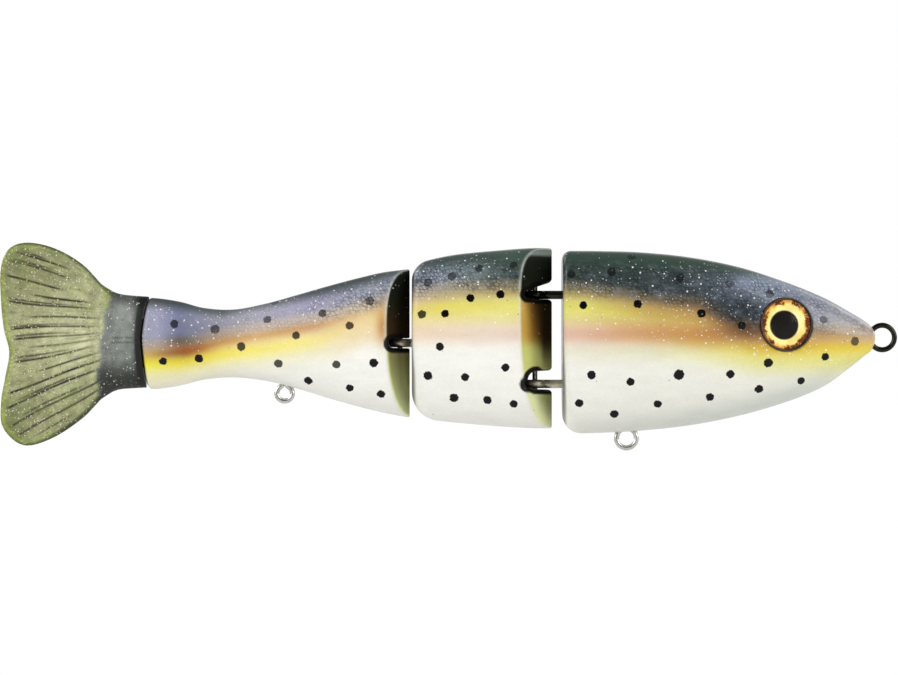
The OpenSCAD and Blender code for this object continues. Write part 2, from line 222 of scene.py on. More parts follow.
HEAD = Loft(HEAD_HIGH[0], HEAD_HIGH[0] - HEAD_LOW[0], HEAD_STATIONS, HEAD_ROUND)
MID = Loft(MID_HIGH[0], MID_HIGH[0] - MID_LOW[0], MID_STATIONS, MID_ROUND)
TAIL = Loft(TAIL_HIGH[0], TAIL_HIGH[0] - TAIL_LOW[0], TAIL_STATIONS, TAIL_ROUND)
BOOT = Loft(BOOT_FRONT, BOOT_FRONT - FLEX_X - 0.4, BOOT_STATIONS)


def wedge(x, y, ridge, depth_per_width):
    """Distance in front of a wedge's two faces, its ridge a little worn."""
    return (x - ridge + depth_per_width * (bounded(y, 0.35) - 0.05)) / math.hypot(1, depth_per_width)


def tapered_slot(x, z, back, height, half, climb=0.0, flare=0.0):
    """Distance outside a slot with a round back end that climbs and flares ahead."""
    ahead = x - back - half
    above = z - height - climb * np.maximum(ahead, 0)
    return np.where(ahead < 0, bounded(ahead, above), np.abs(above) - flare * ahead) - half


def hinge_slot(x, y, z, pin_x, ring_z, wide):
    """Distance outside a hinge slot: a channel for the ring and a wider part in front of it."""
    height, half, back, climb, flare, _ = wide
    ring = tapered_slot(x, z, pin_x - RING_BACK, ring_z, RING_ROOM)
    ring = ring + CHOKE * rise(2.9, 3.7, np.abs(y)) * rise(0.2, -1, x - pin_x)
    return either(ring, tapered_slot(x, z, pin_x - back, height, half, climb, flare), 0.4)


class EyeSeat:
    """One eye's place: the disc's centre, the way it looks, and its up and forward directions."""

    def __init__(self, side, foil):
        low, high = box_mm(foil)
        turn = math.radians(side * EYE_TURN)
        self.out = np.array([math.cos(turn), math.sin(turn), 0])
        self.up = np.array([0, 0, 1.0])
        self.ahead = np.cross(self.up, self.out) * -side
        self.centre = (low + high) / 2 - EYE_DROP * self.out
        self.side = side

    def local(self, x, y, z):
        """Distance from the eye's axis, and height over the seat's floor."""
        dx, dy, dz = x - self.centre[0], y - self.centre[1], z - self.centre[2]
        height = dx * self.out[0] + dy * self.out[1]
        return bounded(dx * self.ahead[0] + dy * self.ahead[1], dz), height


EYES = [EyeSeat(-1, "right_eye_foil"), EyeSeat(1, "left_eye_foil")]


def ring_height(node):
    """Height of a hinge eye's ring."""
    low, high = box_mm(node)
    return (low[2] + high[2]) / 2


FRONT_SLOTS = [(FRONT_PIN_X, ring_height("upper_hinge_eye"), UPPER_SLOT),
               (FRONT_PIN_X, ring_height("lower_hinge_eye"), LOWER_SLOT)]
REAR_SLOTS = [(REAR_PIN_X, ring_height("rear_hinge_eye"), REAR_SLOT)]


def tab_block(x, y, z, room=0):
    """Distance outside the boot's tab, or outside the pocket that holds it with some room."""
    half, height, tall, reach = TAB
    return np.maximum(np.maximum(np.abs(y) - half, np.abs(z - height) - tall), x - TAIL_LOW[0] - reach) - room


def head_shape(x, y, z):
    shape = both(HEAD.distance(x, y, z), x - HEAD.front, 0.7)
    for eye in EYES:
        spread, height = eye.local(x, y, z)
        shape = both(shape, -np.maximum(spread - EYE_R - 0.2, -height), 0.2)
    return shape


def slotted(shape, x, y, z, slots):
    """A section's shape with its hinge slots cut."""
    for slot in slots:
        shape = both(shape, -hinge_slot(x, y, z, *slot), slot[2][-1])
    return shape


def mid_shape(x, y, z):
    shape = both(MID.distance(x, y, z), wedge(x, y, MID.front, FRONT_WEDGE), EDGE_R)
    return slotted(shape, x, y, z, FRONT_SLOTS)


def tail_shape(x, y, z):
    shape = both(TAIL.distance(x, y, z), wedge(x, y, TAIL.front, REAR_WEDGE), EDGE_R)
    return both(slotted(shape, x, y, z, REAR_SLOTS), -tab_block(x, y, z, TAB_ROOM), 0.2)


# ---------------------------------------------------------------- shape of the soft tail

# Outline of the fin: distance behind the line it bends about, and height.
FIN_OUTLINE = [
    (-6, 7), (0, 11.3), (5.6, 17.1), (12.1, 20.9), (18.6, 22.3), (23, 20.8), (24.9, 16.2), (24.9, 9.5),
    (24.2, 2.2), (22.9, -3.4), (23.8, -9), (24.8, -15), (24.4, -21.1), (19.6, -25.3), (12.9, -23.7),
    (5.6, -18.9), (0, -13.2), (-6, -9),
]
RAY_APEX = (FLEX_X + 24.7, 3.6)          # the fin's rays fan out from here
RAYS = 16
RAY_HIGH, RAY_LOW = 20.5, -34            # slopes of the highest and the lowest ray, in degrees
RAY_WIDTH = 0.24
FIN_HALF, FIN_THINNER, RIM_HIGH, RAY_DEEP = 1.15, 0.4, 0.16, 0.2    # half thickness at the root, and what changes it


def smooth_outline(points, steps):
    """Points on a smooth curve through a list of points."""
    p = np.array(points, float)
    last = len(p) - 1
    made = []
    for i in range(last):
        a, b, c, d = p[max(i - 1, 0)], p[i], p[i + 1], p[min(i + 2, last)]
        made += [hermite(s / steps, b, c, (c - a) / 2, (d - b) / 2) for s in range(steps)]
    return np.array(made + [p[last]])


FIN_EDGE = smooth_outline(FIN_OUTLINE, 6)


def fin_inside(x, z):
    """How far a point lies inside the fin's outline."""
    px, pz = np.broadcast_arrays(FLEX_X - x, z)
    near = np.full(px.shape, 1e9)
    odd = np.zeros(px.shape, bool)
    for (ax, az), (bx, bz) in zip(FIN_EDGE, np.roll(FIN_EDGE, -1, axis=0)):
        ex, ez = bx - ax, bz - az
        t = np.clip(((px - ax) * ex + (pz - az) * ez) / (ex * ex + ez * ez), 0, 1)
        near = np.minimum(near, (px - ax - t * ex) ** 2 + (pz - az - t * ez) ** 2)
        if az != bz:
            odd ^= ((az > pz) != (bz > pz)) & (px < ax + (pz - az) / (bz - az) * ex)
    return np.where(odd, 1, -1) * np.sqrt(near)


def fin_rays():
    """The moulded rays: slope, where each starts and ends from the apex, and its strength."""
    chance = np.random.default_rng(5)
    rays = []
    for i in range(RAYS):
        slope = RAY_HIGH + (RAY_LOW - RAY_HIGH) * (i + chance.uniform(-0.2, 0.2)) / (RAYS - 1)
        start = chance.uniform(25, 28) + (7 if i < 3 or i == RAYS - 1 else 0)
        end = chance.choice([44, 60, 60])
        rays.append((math.radians(slope), start, end, chance.uniform(0.65, 1)))
        if i % 3 != 2:
            rays.append((math.radians(slope + chance.uniform(0.7, 1.3)), start + 5, end - 9, 0.6))
    return rays


FIN_RAYS = fin_rays()


def ray_depth(x, z, inside):
    """How deep the moulded rays cut here, 0 to 1."""
    back, up = RAY_APEX[0] - x, z - RAY_APEX[1]
    reach, slope = bounded(back, up), np.arctan2(up, back)
    depth = np.zeros(np.broadcast(x, z).shape)
    for angle, start, end, strength in FIN_RAYS:
        bend = 0.006 * np.sin(reach * 0.22 + angle * 17)
        across = reach * np.sin(slope - angle - bend)
        fade = np.clip((reach - start) / 4, 0, 1) * np.clip((end - reach) / 4, 0, 1)
        depth = np.maximum(depth, strength * fade * bell(across, RAY_WIDTH))
    return depth * np.clip((inside - 1.2) / 1.2, 0, 1)


def fin_plate(x, y, z, inside, grooves):
    """Distance outside the fin: a thin plate, thicker at its root, with a raised rim and moulded rays."""
    behind = np.clip((FLEX_X - x) / 24, 0, 1)
    half = FIN_HALF - FIN_THINNER * behind + RIM_HIGH * bell(inside - 0.7, 0.7) - RAY_DEEP * grooves
    return both(np.abs(y) - half, -inside, 0.55)


def soft_shape(x, y, z):
    boot = both(BOOT.distance(x, y, z), x - BOOT_FRONT, 0.3)
    boot = both(boot, FLEX_X - 1.5 - x, 1.2)
    boot = both(boot, -TAIL.distance(x + BOOT_GAP, y, z), 0.15)
    inside = fin_inside(x, z)
    plate = fin_plate(x, y, z, inside, ray_depth(x, z, inside))
    whole = either(boot, both(plate, x - FLEX_X - 5, 0.3), 1.6)
    return np.minimum(whole, np.maximum(tab_block(x, y, z), FLEX_X - x))


# ---------------------------------------------------------------- meshing

HEAD_STEP, SECTION_STEP, SOFT_STEP = 0.36, 0.31, 0.22    # grid steps, as fine as the face limit allows


def surface_net(shape, low, high, step):
    """Quads over the zero surface of a distance function, each point settled on the surface itself."""
    axes = [np.arange(l, h + step, step) for l, h in zip(low, high)]
    grid = shape(axes[0][:, None, None], axes[1][None, :, None], axes[2][None, None, :])
    inside = grid < 0
    count = np.zeros(np.array(grid.shape) - 1, np.int8)
    for corner in product((0, 1), repeat=3):
        count += inside[tuple(slice(i, n + i) for i, n in zip(corner, count.shape))]
    cells = np.argwhere((count > 0) & (count < 8))
    number = np.full(count.shape, -1)
    number[tuple(cells.T)] = np.arange(len(cells))

    points, cuts = np.zeros((len(cells), 3)), np.zeros(len(cells))
    for axis, i, j in product(range(3), (0, 1), (0, 1)):
        start = cells.copy()
        start[:, (axis + 1) % 3] += i
        start[:, (axis + 2) % 3] += j
        end = start.copy()
        end[:, axis] += 1
        u, v = grid[tuple(start.T)], grid[tuple(end.T)]
        cut = (u < 0) != (v < 0)
        spot = start[cut].astype(float)
        spot[:, axis] += u[cut] / (u[cut] - v[cut])
        points[cut] += spot
        cuts += cut
    points = points / cuts[:, None] * step + np.array([a[0] for a in axes])

    quads = []
    for axis in range(3):
        lower = np.moveaxis(np.moveaxis(inside, axis, 0)[:-1], 0, axis)
        upper = np.moveaxis(np.moveaxis(inside, axis, 0)[1:], 0, axis)
        edges = np.argwhere(lower != upper)
        ring = []
        for db, dc in ((1, 1), (0, 1), (0, 0), (1, 0)):
            cell = edges.copy()
            cell[:, (axis + 1) % 3] -= db
            cell[:, (axis + 2) % 3] -= dc
            ring.append(number[tuple(cell.T)])
        ring = np.array(ring).T
        out = ~lower[tuple(edges.T)]
        ring[out] = ring[out][:, ::-1]
        quads.append(ring)

    for _ in range(3):
        slope = gradient(shape, points)
        move = (shape(*points.T) / np.maximum((slope**2).sum(1), 0.3))[:, None] * slope
        points -= move * np.minimum(1, 0.5 * step / np.maximum(bounded(*move.T), 1e-9))[:, None]
    return points, np.concatenate(quads)


def gradient(shape, points, h=0.03):
    """Slope of a distance function at each point."""
    x, y, z = points.T
    return np.stack([shape(x + h, y, z) - shape(x - h, y, z), shape(x, y + h, z) - shape(x, y - h, z),
                     shape(x, y, z + h) - shape(x, y, z - h)], axis=1) / (2 * h)


def new_piece(name, points, faces, normals=None):
    """A smooth-shaded object from points in millimetres."""
    mesh = bpy.data.meshes.new(name)
    mesh.from_pydata((np.asarray(points) * MM).tolist(), [], [list(map(int, f)) for f in faces])
    mesh.shade_smooth()
    store(mesh, "place", points)
    if normals is not None:
        mesh.normals_split_custom_set_from_vertices(normals.tolist())
    piece = bpy.data.objects.new(name, mesh)
    bpy.context.scene.collection.objects.link(piece)
    return piece


def store(mesh, name, values, colour=False):
    """Keeps a value for each point: a vector, or a colour whose alpha is 1 if it has none."""
    values = np.asarray(values, float)
    if colour and values.shape[1] == 3:
        values = np.column_stack([values, np.ones(len(values))])
    kind, field = ("FLOAT_COLOR", "color") if colour else ("FLOAT_VECTOR", "vector")
    mesh.attributes.new(name, kind, "POINT").data.foreach_set(field, values.astype(np.float32).ravel())


# ---------------------------------------------------------------- paint

def rgb(code):
    """A colour such as #c0ffee as three shares."""
    return np.array([int(code[i:i + 2], 16) / 255 for i in (1, 3, 5)])


def linear(colour):
    """Light that a screen colour gives."""
    colour = np.asarray(colour, float)
    return np.where(colour <= 0.04045, colour / 12.92, ((np.maximum(colour, 0.04045) + 0.055) / 1.055) ** 2.4)


def rgba(code):
    return (*linear(rgb(code)), 1)


def line(x, stops):
    """Value at x on a line of (x, value) stops written from the nose back."""
    ordered = sorted(stops)
    return np.interp(x, [s[0] for s in ordered], [s[1] for s in ordered])


def tint_line(x, stops):
    """Colour at x on a line of (x, colour) stops."""
    ordered = sorted(stops)
    at = [s[0] for s in ordered]
    tints = np.array([rgb(s[1]) for s in ordered])
    return np.stack([np.interp(x, at, tints[:, k]) for k in range(3)], axis=-1)


def rise(low, high, value):
    """0 below low, 1 above high, smooth between."""
    t = np.clip((value - low) / (high - low), 0, 1)
    return t * t * (3 - 2 * t)


def bell(value, width):
    return np.exp(-((value / width) ** 2))


class Paint:
    """Colour of every point, sprayed on coat by coat. Stops of a tint or an amount are read at run."""

    def __init__(self, run, base):
        self.run = run
        self.colour = np.zeros(run.shape + (3,)) + self.tint(base)

    def tint(self, tint):
        """Shares of red, green and blue: from a code, from (run, code) stops, or as they are."""
        if isinstance(tint, str):
            return rgb(tint)
        return tint_line(self.run, tint) if isinstance(tint, list) else tint

    def spray(self, tint, amount, along=None):
        """Lays a tint on by an amount for each point, times the (run, share) stops of along."""
        if along:
            amount = amount * line(self.run, along)
        self.colour = self.colour + (self.tint(tint) - self.colour) * np.clip(amount, 0, 1)[..., None]


# Lines along the body that the airbrush follows: x, height.
DARK_EDGE = [(0, 1.2), (-12, 2), (-24, 1.6), (-32, 2.6), (-38, 5.4), (-43, 8), (-53, 9), (-70, 11.4),
             (-88, 12.1), (-100, 11.7), (-110, 10.5), (-122, 7.4), (-132, 4.6), (-147, 2), (-155, 0.6),
             (-163, -1.6), (-174, -2.4)]
UPPER_YELLOW = [(-30, 2), (-43, 4), (-53, 5.2), (-70, 7), (-88, 7.6), (-100, 7.4), (-110, 6.6), (-122, 4.6),
                (-132, -0.4), (-147, -2.8), (-155, -3.8), (-165, -5.6), (-174, -6)]
# Height at which the green-black of the back begins, and the thin dark line along the head's back, a painted edge of
# the back's reflection.
BACK_LINE = [(0, 5.4), (-6, 7.6), (-12, 10.2), (-24, 14), (-36, 15.2), (-50, 15.4), (-70, 15.5), (-86, 15.3),
             (-96, 17.4), (-110, 16), (-122, 12.4), (-134, 9.5), (-147, 7.1), (-155, 5.5), (-165, 7), (-174, 7.8)]
REFLECTION_EDGE_LINE = [(-45, 14.6), (-55, 15.9), (-68, 16.4), (-80, 16.6)]
# Tints of the bands from nose to tail.
PEARL = [(-60, "#f2f1e7"), (-85, "#f9f8f0"), (-174, "#fdfcf5")]
CHEEK_YELLOW = [(-4, "#f2dc4c"), (-20, "#e6cb42"), (-40, "#dfc445")]
BUFF = [(-40, "#c79a48"), (-56, "#cba458"), (-70, "#dcc884"), (-90, "#e8d890"), (-110, "#eed89c"), (-125, "#ecd298")]
YELLOW = [(-40, "#cfae58"), (-56, "#cdb95e"), (-70, "#e2dc70"), (-90, "#e8e07a"), (-104, "#e6d968"),
          (-112, "#e8d684"), (-124, "#f0d490"), (-136, "#f8ea84"), (-150, "#faec6c"), (-163, "#ecdb40"),
          (-174, "#f4ec4c")]
PINK = [(-34, "#b0733a"), (-46, "#c48e4e"), (-56, "#cf9c68"), (-70, "#dfb198"), (-90, "#ead2c2"), (-110, "#ecd0b4"),
        (-125, "#f0d9ae")]
EDGE_TAN = [(0, "#d2aa8c"), (-10, "#c49656"), (-20, "#b8864a"), (-34, "#ad7a42"), (-50, "#b28a4c"), (-70, "#bba556"),
            (-88, "#b8a260"), (-100, "#c0ae74"), (-108, "#c8b084"), (-122, "#e0c090"), (-134, "#d09c68"),
            (-147, "#d8a865"), (-158, "#c28c40"), (-164, "#8f5c22"), (-168, "#9a6c30"), (-174, "#d0a840")]
# The slate's pale grey at the nose is partly the paint's own grey, partly a painted reflection of the front light.
SLATE = [(0, "#a9a8ad"), (-10, "#a0a0a6"), (-20, "#8d93a3"), (-28, "#7d8798"), (-36, "#56606a"), (-46, "#40494c"),
         (-60, "#394443"), (-76, "#3a4540"), (-86, "#3f4c48"), (-94, "#6a7978"), (-102, "#85929c"),
         (-110, "#7a818d"), (-122, "#a0a3b2"), (-134, "#a6a4bd"), (-148, "#aeacb8"), (-157, "#9495a2"),
         (-165, "#787d98"), (-170, "#a2a3bb"), (-174, "#a0a2b2")]
EDGE_BROWN = [(0, "#b29c8a"), (-14, "#9c8468"), (-34, "#5c4128"), (-52, "#5e5040"), (-70, "#776542"),
              (-90, "#7c6c46"), (-106, "#a89480"), (-122, "#c8b498"), (-147, "#ccb4a4"), (-160, "#8a6a4c"),
              (-174, "#a88c70")]
# The back's green is lighter at the nose: partly its own tint, partly a painted reflection of the front light.
BACK_GREEN = [(0, "#6c706c"), (-12, "#525954"), (-24, "#45544b"), (-40, "#364a3f"), (-80, "#33463b"),
              (-87, "#43564c"), (-110, "#2f3c39"), (-150, "#303936"), (-174, "#363f3a")]
# Soft spots on a flank: tint, strength, x and reach along it, height and reach up and down. The first is a painted
# highlight high behind the eye, the third a painted shadow behind the eye.
SPOTS = [
    ("#98a2b6", 0.8, -29.5, 6.5, 12.8, 2), ("#2c3436", 0.85, -33.5, 6.5, 6.3, 3), ("#5c4128", 0.7, -32.5, 5, 1.8, 2),
    ("#a8521e", 0.6, -163, 4, -2.6, 1.2), ("#51493a", 0.6, -164.5, 3, -0.8, 1.1), ("#b97c42", 0.7, -117.2, 1.5, 2.6, 4),
]


def flank_paint(loft, x, z):
    """The airbrushed bands of a flank: pearl, yellows, the pink stripe, slate and the green-black back. Part of it is
    painted light: shade low on the belly, a highlight and a shadow by the eye, a reflection on the nose and a
    reflection edge along the head's back.
    """
    edge, yellow, back = (line(x, stops) for stops in (DARK_EDGE, UPPER_YELLOW, BACK_LINE))
    paint = Paint(x, PEARL)
    spray = paint.spray
    # Painted shade: a grey-green band low on the head's belly, just above its bottom edge.
    spray("#b9c6bd", bell(z - loft.at(x)[1] - 1.6, 2.6),
          [(-6, 0), (-20, 0.4), (-44, 0.32), (-54, 0.22), (-66, 0.14), (-76, 0)])
    spray("#f0e8b0", 0.75 * bell(z - yellow + 3, 3),
          [(-40, 0), (-60, 0.3), (-110, 0.2), (-130, 0.4), (-150, 0.35), (-174, 1)])
    spray("#e3e0bd", 0.8 * bell(z + 3.2, 2.4), [(-42, 0), (-52, 0.8), (-70, 0.75), (-78, 0.3), (-88, 0)])
    spray("#e8e48c", bell(z + 5.2 - line(x, [(-30, 0), (-45, 2.4)]), 3.2), [(-30, 0.9), (-44, 0.5), (-56, 0)])
    spray(CHEEK_YELLOW, bell(z + 2.6 - line(x, [(0, 0.4), (-30, 0.2), (-45, 2)]), 2.1),
          [(-28, 1), (-40, 0.5), (-50, 0)])
    spray(BUFF, 0.8 * bell(z - yellow + 3.2, 3), [(-34, 0), (-44, 1), (-60, 1), (-110, 0.8), (-124, 0.8), (-132, 0)])
    width = line(x, [(-40, 2.4), (-70, 3), (-100, 3), (-122, 2.6), (-136, 2.6), (-155, 2.2)])
    spray(YELLOW, bell(z - yellow, width),
          [(-30, 0), (-44, 0.9), (-60, 1), (-110, 1), (-122, 0.8), (-134, 0.85), (-174, 1)])
    spray(PINK, bell(z - line(x, [(-34, 1), (-60, 0.8), (-110, 0.8), (-125, 2)]), 2.4),
          [(-26, 0), (-38, 0.8), (-60, 0.95), (-100, 0.8), (-116, 0.6), (-128, 0)])
    width = line(x, [(0, 1.8), (-34, 3), (-50, 2.4), (-70, 1.6), (-147, 1.8), (-166, 1.5)])
    spray(EDGE_TAN, bell(z - edge + 1.6, width),
          [(0, 0.7), (-34, 0.95), (-50, 0.8), (-70, 0.75), (-122, 0.8), (-134, 0.95), (-150, 0.9), (-163, 1),
           (-174, 0.7)])
    spray(SLATE, rise(-2, 2.4, z - edge))
    spray(EDGE_BROWN, 0.6 * bell(z - edge - 0.1, 1.5))
    # Soft spots, among them a painted highlight and a painted shadow behind the eye.
    for tint, amount, at_x, reach_x, at_z, reach_z in SPOTS:
        spray(tint, amount * bell(x - at_x, reach_x) * bell(z - at_z, reach_z))
    spray(BACK_GREEN, rise(-1.8, 2.2, z - back))
    # Painted reflection edge: a thin dark line along the head's back where its reflection of the light from above ends.
    spray("#18221e", 0.5 * bell(z - line(x, REFLECTION_EDGE_LINE), 0.25), [(-44, 0), (-50, 1), (-72, 1), (-82, 0)])
    return paint


# How a wedge's face is painted. black_above: height over which it is black; black_low: what that black turns to lower
# down. amber_to: height down to which the amber, darkened toward the ridge by painted shade, reaches, over a stretch
# of reach. takeover: how far in the olive takes over from the pale rim. olive, olive_low: its tints.
# top_edge_highlight: how strong the grey highlight painted along the top edge is.
FRONT_FACE = dict(black_above=12, black_low="#181c13", amber_to=0, reach=9, takeover=(0.8, 9), olive="#9c9e62",
                  olive_low="#8c9058", top_edge_highlight=0.85)
REAR_FACE = dict(black_above=1, black_low="#332412", amber_to=0, reach=3.5, takeover=(0, 1.6), olive="#848052",
                 olive_low="#aeb67e", top_edge_highlight=0)


def wedge_paint(z, within, below_top, black_above, black_low, amber_to, reach, takeover, olive, olive_low, top_edge_highlight):
    """A wedge's face: black at the top, amber in the middle, yellow-green to olive down to the belly. Toward the ridge
    the amber carries painted shade and the olive painted light; the top edge carries a painted highlight.
    """
    paint, amber = Paint(z, "#e6eab0"), Paint(z, "#d2ab52")
    paint.spray("#d2d676", 0.85 * rise(amber_to - 15, amber_to - 6, z))
    low = tint_line(z, [(-5, olive), (-15, olive_low)]) * line(z, [(-16, 1), (-20, 0.88)])[..., None]
    # Painted light: the olive is lighter toward the ridge, to even out the shade that falls there.
    paint.spray(low * (1 + 0.4 * rise(3, 9, within))[..., None], 0.95 * rise(*takeover, within))
    # The amber darkens toward the ridge: partly the face's paint, partly painted shade.
    amber.spray("#8f6626", rise(0.5, 5, within))
    paint.spray(amber.colour, rise(amber_to - 0.4 * reach, amber_to + 1, z))
    # Painted shade toward the ridge, stronger higher up the face.
    shade = rise(0, 1, (within - 3.4 + 0.38 * (z - amber_to)) / 7.5)
    paint.spray("#2a1f10", shade * rise(amber_to - reach, amber_to + 1.5, z))
    paint.spray([(9, "#181c13"), (3, black_low)], rise(black_above - 3.5, black_above, z))
    # Painted highlight: a grey band along the rounded top edge.
    paint.spray("#8a958d", top_edge_highlight * rise(2.3, 1.5, below_top) * rise(0.9, 2.4, below_top + 2 * within))
    return paint.colour


def section_paint(loft, points, face, slot, face_paint):
    """Colour of a section, and its glitter and scale net. face and slot are distances to its cut faces. The colour
    holds painted light: a highlight along each face's edge, shade in the hinge slots and shade on the rear end.
    """
    x, y, z = points.T
    out = loft.flank(x, y, z)[0]
    above_edge, above_back = z - line(x, DARK_EDGE), z - line(x, BACK_LINE)
    paint, cut = flank_paint(loft, x, z), np.zeros(x.shape)
    if face is not None:
        cut = rise(-0.15, 0.35, face - out)
        within = -out * MID.at(MID.front)[2] / loft.at(loft.front)[2]
        paint.spray(wedge_paint(z, within, loft.at(x)[0] - z, **face_paint), cut)
        # Painted highlight: a pale line along the rounded outer edge of the face.
        paint.spray("#dfe2d6", 0.6 * bell(face - out, 0.35))
        # Painted shade: near-black in the hinge slots and on their rounded edges.
        paint.spray("#0b0a08", rise(1.35, 0.95, slot))
    # Painted shade: the rear end is darker where it faces the next part across a narrow gap.
    rear = rise(1.2, 0.2, x - (loft.front - loft.length)) * rise(-0.3, -1.2, out)
    paint.spray(paint.colour * 0.55, rear)
    flecks = rise(-4.5, 1.5, above_edge) * line(
        x, [(0, 0.5), (-26, 0.95), (-40, 0.9), (-54, 0.6), (-78, 0.6), (-90, 0.85), (-174, 1)])
    cheek = bell(above_edge + 4.5, 4.5) * line(x, [(-8, 0.5), (-20, 1.3), (-50, 1.5), (-74, 0.7), (-112, 0.3)])
    flecks = np.maximum(flecks * (1 - 0.7 * rise(-1, 3, above_back)), cheek) * (1 - 0.6 * cut)
    net = rise(-3, 0.5, above_edge) * rise(3.5, -1.5, above_back - 1) * (1 - cut)
    net = net * line(x, [(-4, 0.5), (-26, 1), (-118, 1), (-136, 0.45), (-160, 0.15)])
    return paint, flecks, net


# Dots of the flanks in millimetres: x, height, and how black each is. Over 1 marks a bigger dot.
HEAD_DOTS = [
    (-70.5, 7.5, 1), (-57.8, 7.8, 1), (-43, 5.6, 1), (-33.6, 2.8, 1), (-14.3, 4.2, 0.75), (-6.8, -0.9, 0.82),
    (-13.9, -4.5, 1), (-19.5, -10.1, 1), (-27.3, -5.9, 1), (-29.4, -12, 1), (-36.2, -8.5, 1), (-40.9, -13.9, 1),
    (-48.2, -8.7, 1.3), (-53.1, -15.5, 1), (-59.5, -10.3, 1), (-63.2, -17.9, 1), (-68.6, -8.7, 1), (-71.4, -15.3, 1),
    (-73.3, 14.8, 0.75), (-63.9, 15.3, 0.75), (-47.9, 13.9, 0.75), (-36.4, 12.5, 0.5), (-27, 10.1, 0.7),
    (-59.2, 18.8, 0.6),
]
MID_DOTS = [
    (-96.8, 9.2, 1), (-89.8, 10.1, 1), (-108.1, 5.4, 0.93), (-102.7, 5.6, 1), (-103.9, -2.1, 1), (-106.7, -8.9, 1),
    (-98, -9.2, 1), (-88.6, -7, 1), (-100.6, -14.1, 1), (-92.8, -14.6, 1), (-86.7, -15.5, 1),
    (-106.7, 12.9, 0.7), (-101.1, 14.3, 0.75), (-94.7, 16.2, 0.75), (-86.7, 16.9, 0.7),
]
TAIL_DOTS = [
    (-168.7, -5.6, 1), (-160.3, -4.9, 1), (-150.4, -2.1, 0.92), (-137.5, 0.5, 0.9), (-125, 2.8, 0.9),
    (-156.5, 1.9, 0.75), (-144.3, 4.2, 0.75), (-131.4, 5.6, 0.8), (-120.3, 8.5, 0.75), (-142.6, 8.2, 0.5),
    (-166.1, 3.2, 0.85), (-141.7, -6.1, 0.92), (-134.7, -10.1, 1), (-128.1, -6.3, 0.93),
    (-125, -11.8, 1), (-119.4, -5.9, 1), (-117.7, -13.2, 1),
]


def dots_of(loft, dots):
    """Each dot's centre on the right flank, and on the left flank a near mirror of it."""
    chance = np.random.default_rng(11)
    made = []
    for side in (-1, 1):
        for x, z, ink in dots:
            if side == 1:
                x, z = x + chance.uniform(-1.2, 1.2), z + chance.uniform(-0.9, 0.9)
            wide = np.linspace(0, 12, 600)
            out = loft.flank(np.full(600, x), wide, np.full(600, z))[0]
            inner = wide[out < 0]
            if len(inner):
                radius = 1.02 * chance.uniform(0.92, 1.08) * (1.2 if ink > 1 else 1)
                made.append((x, side * inner[-1], z, radius, min(ink, 1)))
    return np.array(made)


def dot_fields(points, dots):
    """Offset to the nearest dot in its own radii with a far mark, and that dot's ink."""
    near = np.full(len(points), 1e9)
    offset, ink = np.zeros((len(points), 3)), np.zeros(len(points))
    for x, y, z, r, strength in dots:
        away = (points - (x, y, z)) / r
        reach = bounded(*away.T)
        closer = reach < near
        near[closer], offset[closer], ink[closer] = reach[closer], away[closer], strength
    far = 3 * np.clip(near - 1.4, 0, 1)
    return np.column_stack([offset * (near < 2.4)[:, None], far]), ink


def slot_border(x, y, z, slot):
    """Distance to a slot's edge, with a border of painted shade that is thinner ahead of the ring and above it."""
    return np.abs(hinge_slot(x, y, z, *slot)) + 0.95 * rise(0.4, 2.2, x - slot[0]) * rise(-0.6, 0.6, z - slot[1])


def body_piece(name, shape, loft, dots, low, high, step, wedge_depth=None, slots=(), face_paint=None):
    """A painted body section."""
    points, quads = surface_net(shape, low - 0.7, high + 0.7, step)
    slope = gradient(shape, points)
    normals = slope / bounded(*slope.T)[:, None]
    x, y, z = points.T
    face = slot = None
    if wedge_depth:
        face = wedge(x, y, loft.front, wedge_depth)
        slot = np.min([slot_border(x, y, z, s) for s in slots], axis=0)
    paint, flecks, net = section_paint(loft, points, face, slot, face_paint)
    net = net * rise(0.92, 0.6, np.abs(normals[:, 2]))
    for eye in EYES:
        spread, height = eye.local(x, y, z)
        # Painted shadow of the eye recess's edge: a near-black ring round each eye seat, free of flecks and net.
        rim = rise(6.5, 6.15, spread) * rise(-1, -0.2, height)
        paint.spray("#15170f", rim)
        flecks, net = flecks * (1 - rim), net * (1 - rim)
    piece = new_piece(name, points, quads, normals)
    spots, ink = dot_fields(points, dots_of(loft, dots))
    store(piece.data, "paint", linear(paint.colour), True)
    store(piece.data, "masks", np.column_stack([flecks, net, ink]), True)
    store(piece.data, "dots", spots, True)
    return piece


def boot_paint(x, z, gap):
    """Colour of the dark boot and its groove, with painted shade toward its top and bottom, and a painted shadow that
    darkens its lips and turns the gap there black.
    """
    dark = Paint(x, "#7c817c")
    # Painted shade: darker toward the top and bottom of the round boot, lighter along its middle.
    dark.spray("#2b2f2a", np.maximum(rise(-4, -10.5, z), 0.75 * rise(6, 11, z)))
    # Painted shadow: darker toward the lips, where the boot meets the tail section.
    dark.spray("#1c1f19", 0.9 * rise(-4.5, -1.5, x - BOOT_FRONT))
    # Painted shadow: near-black in the gap at the lips.
    dark.spray("#050504", gap)
    dark.spray("#3a3f3b", 0.6 * bell(np.abs(z + 0.6) - 0.55, 0.2) * rise(-181.5, -180.5, x) * rise(-174.3, -175, x))
    return dark.colour


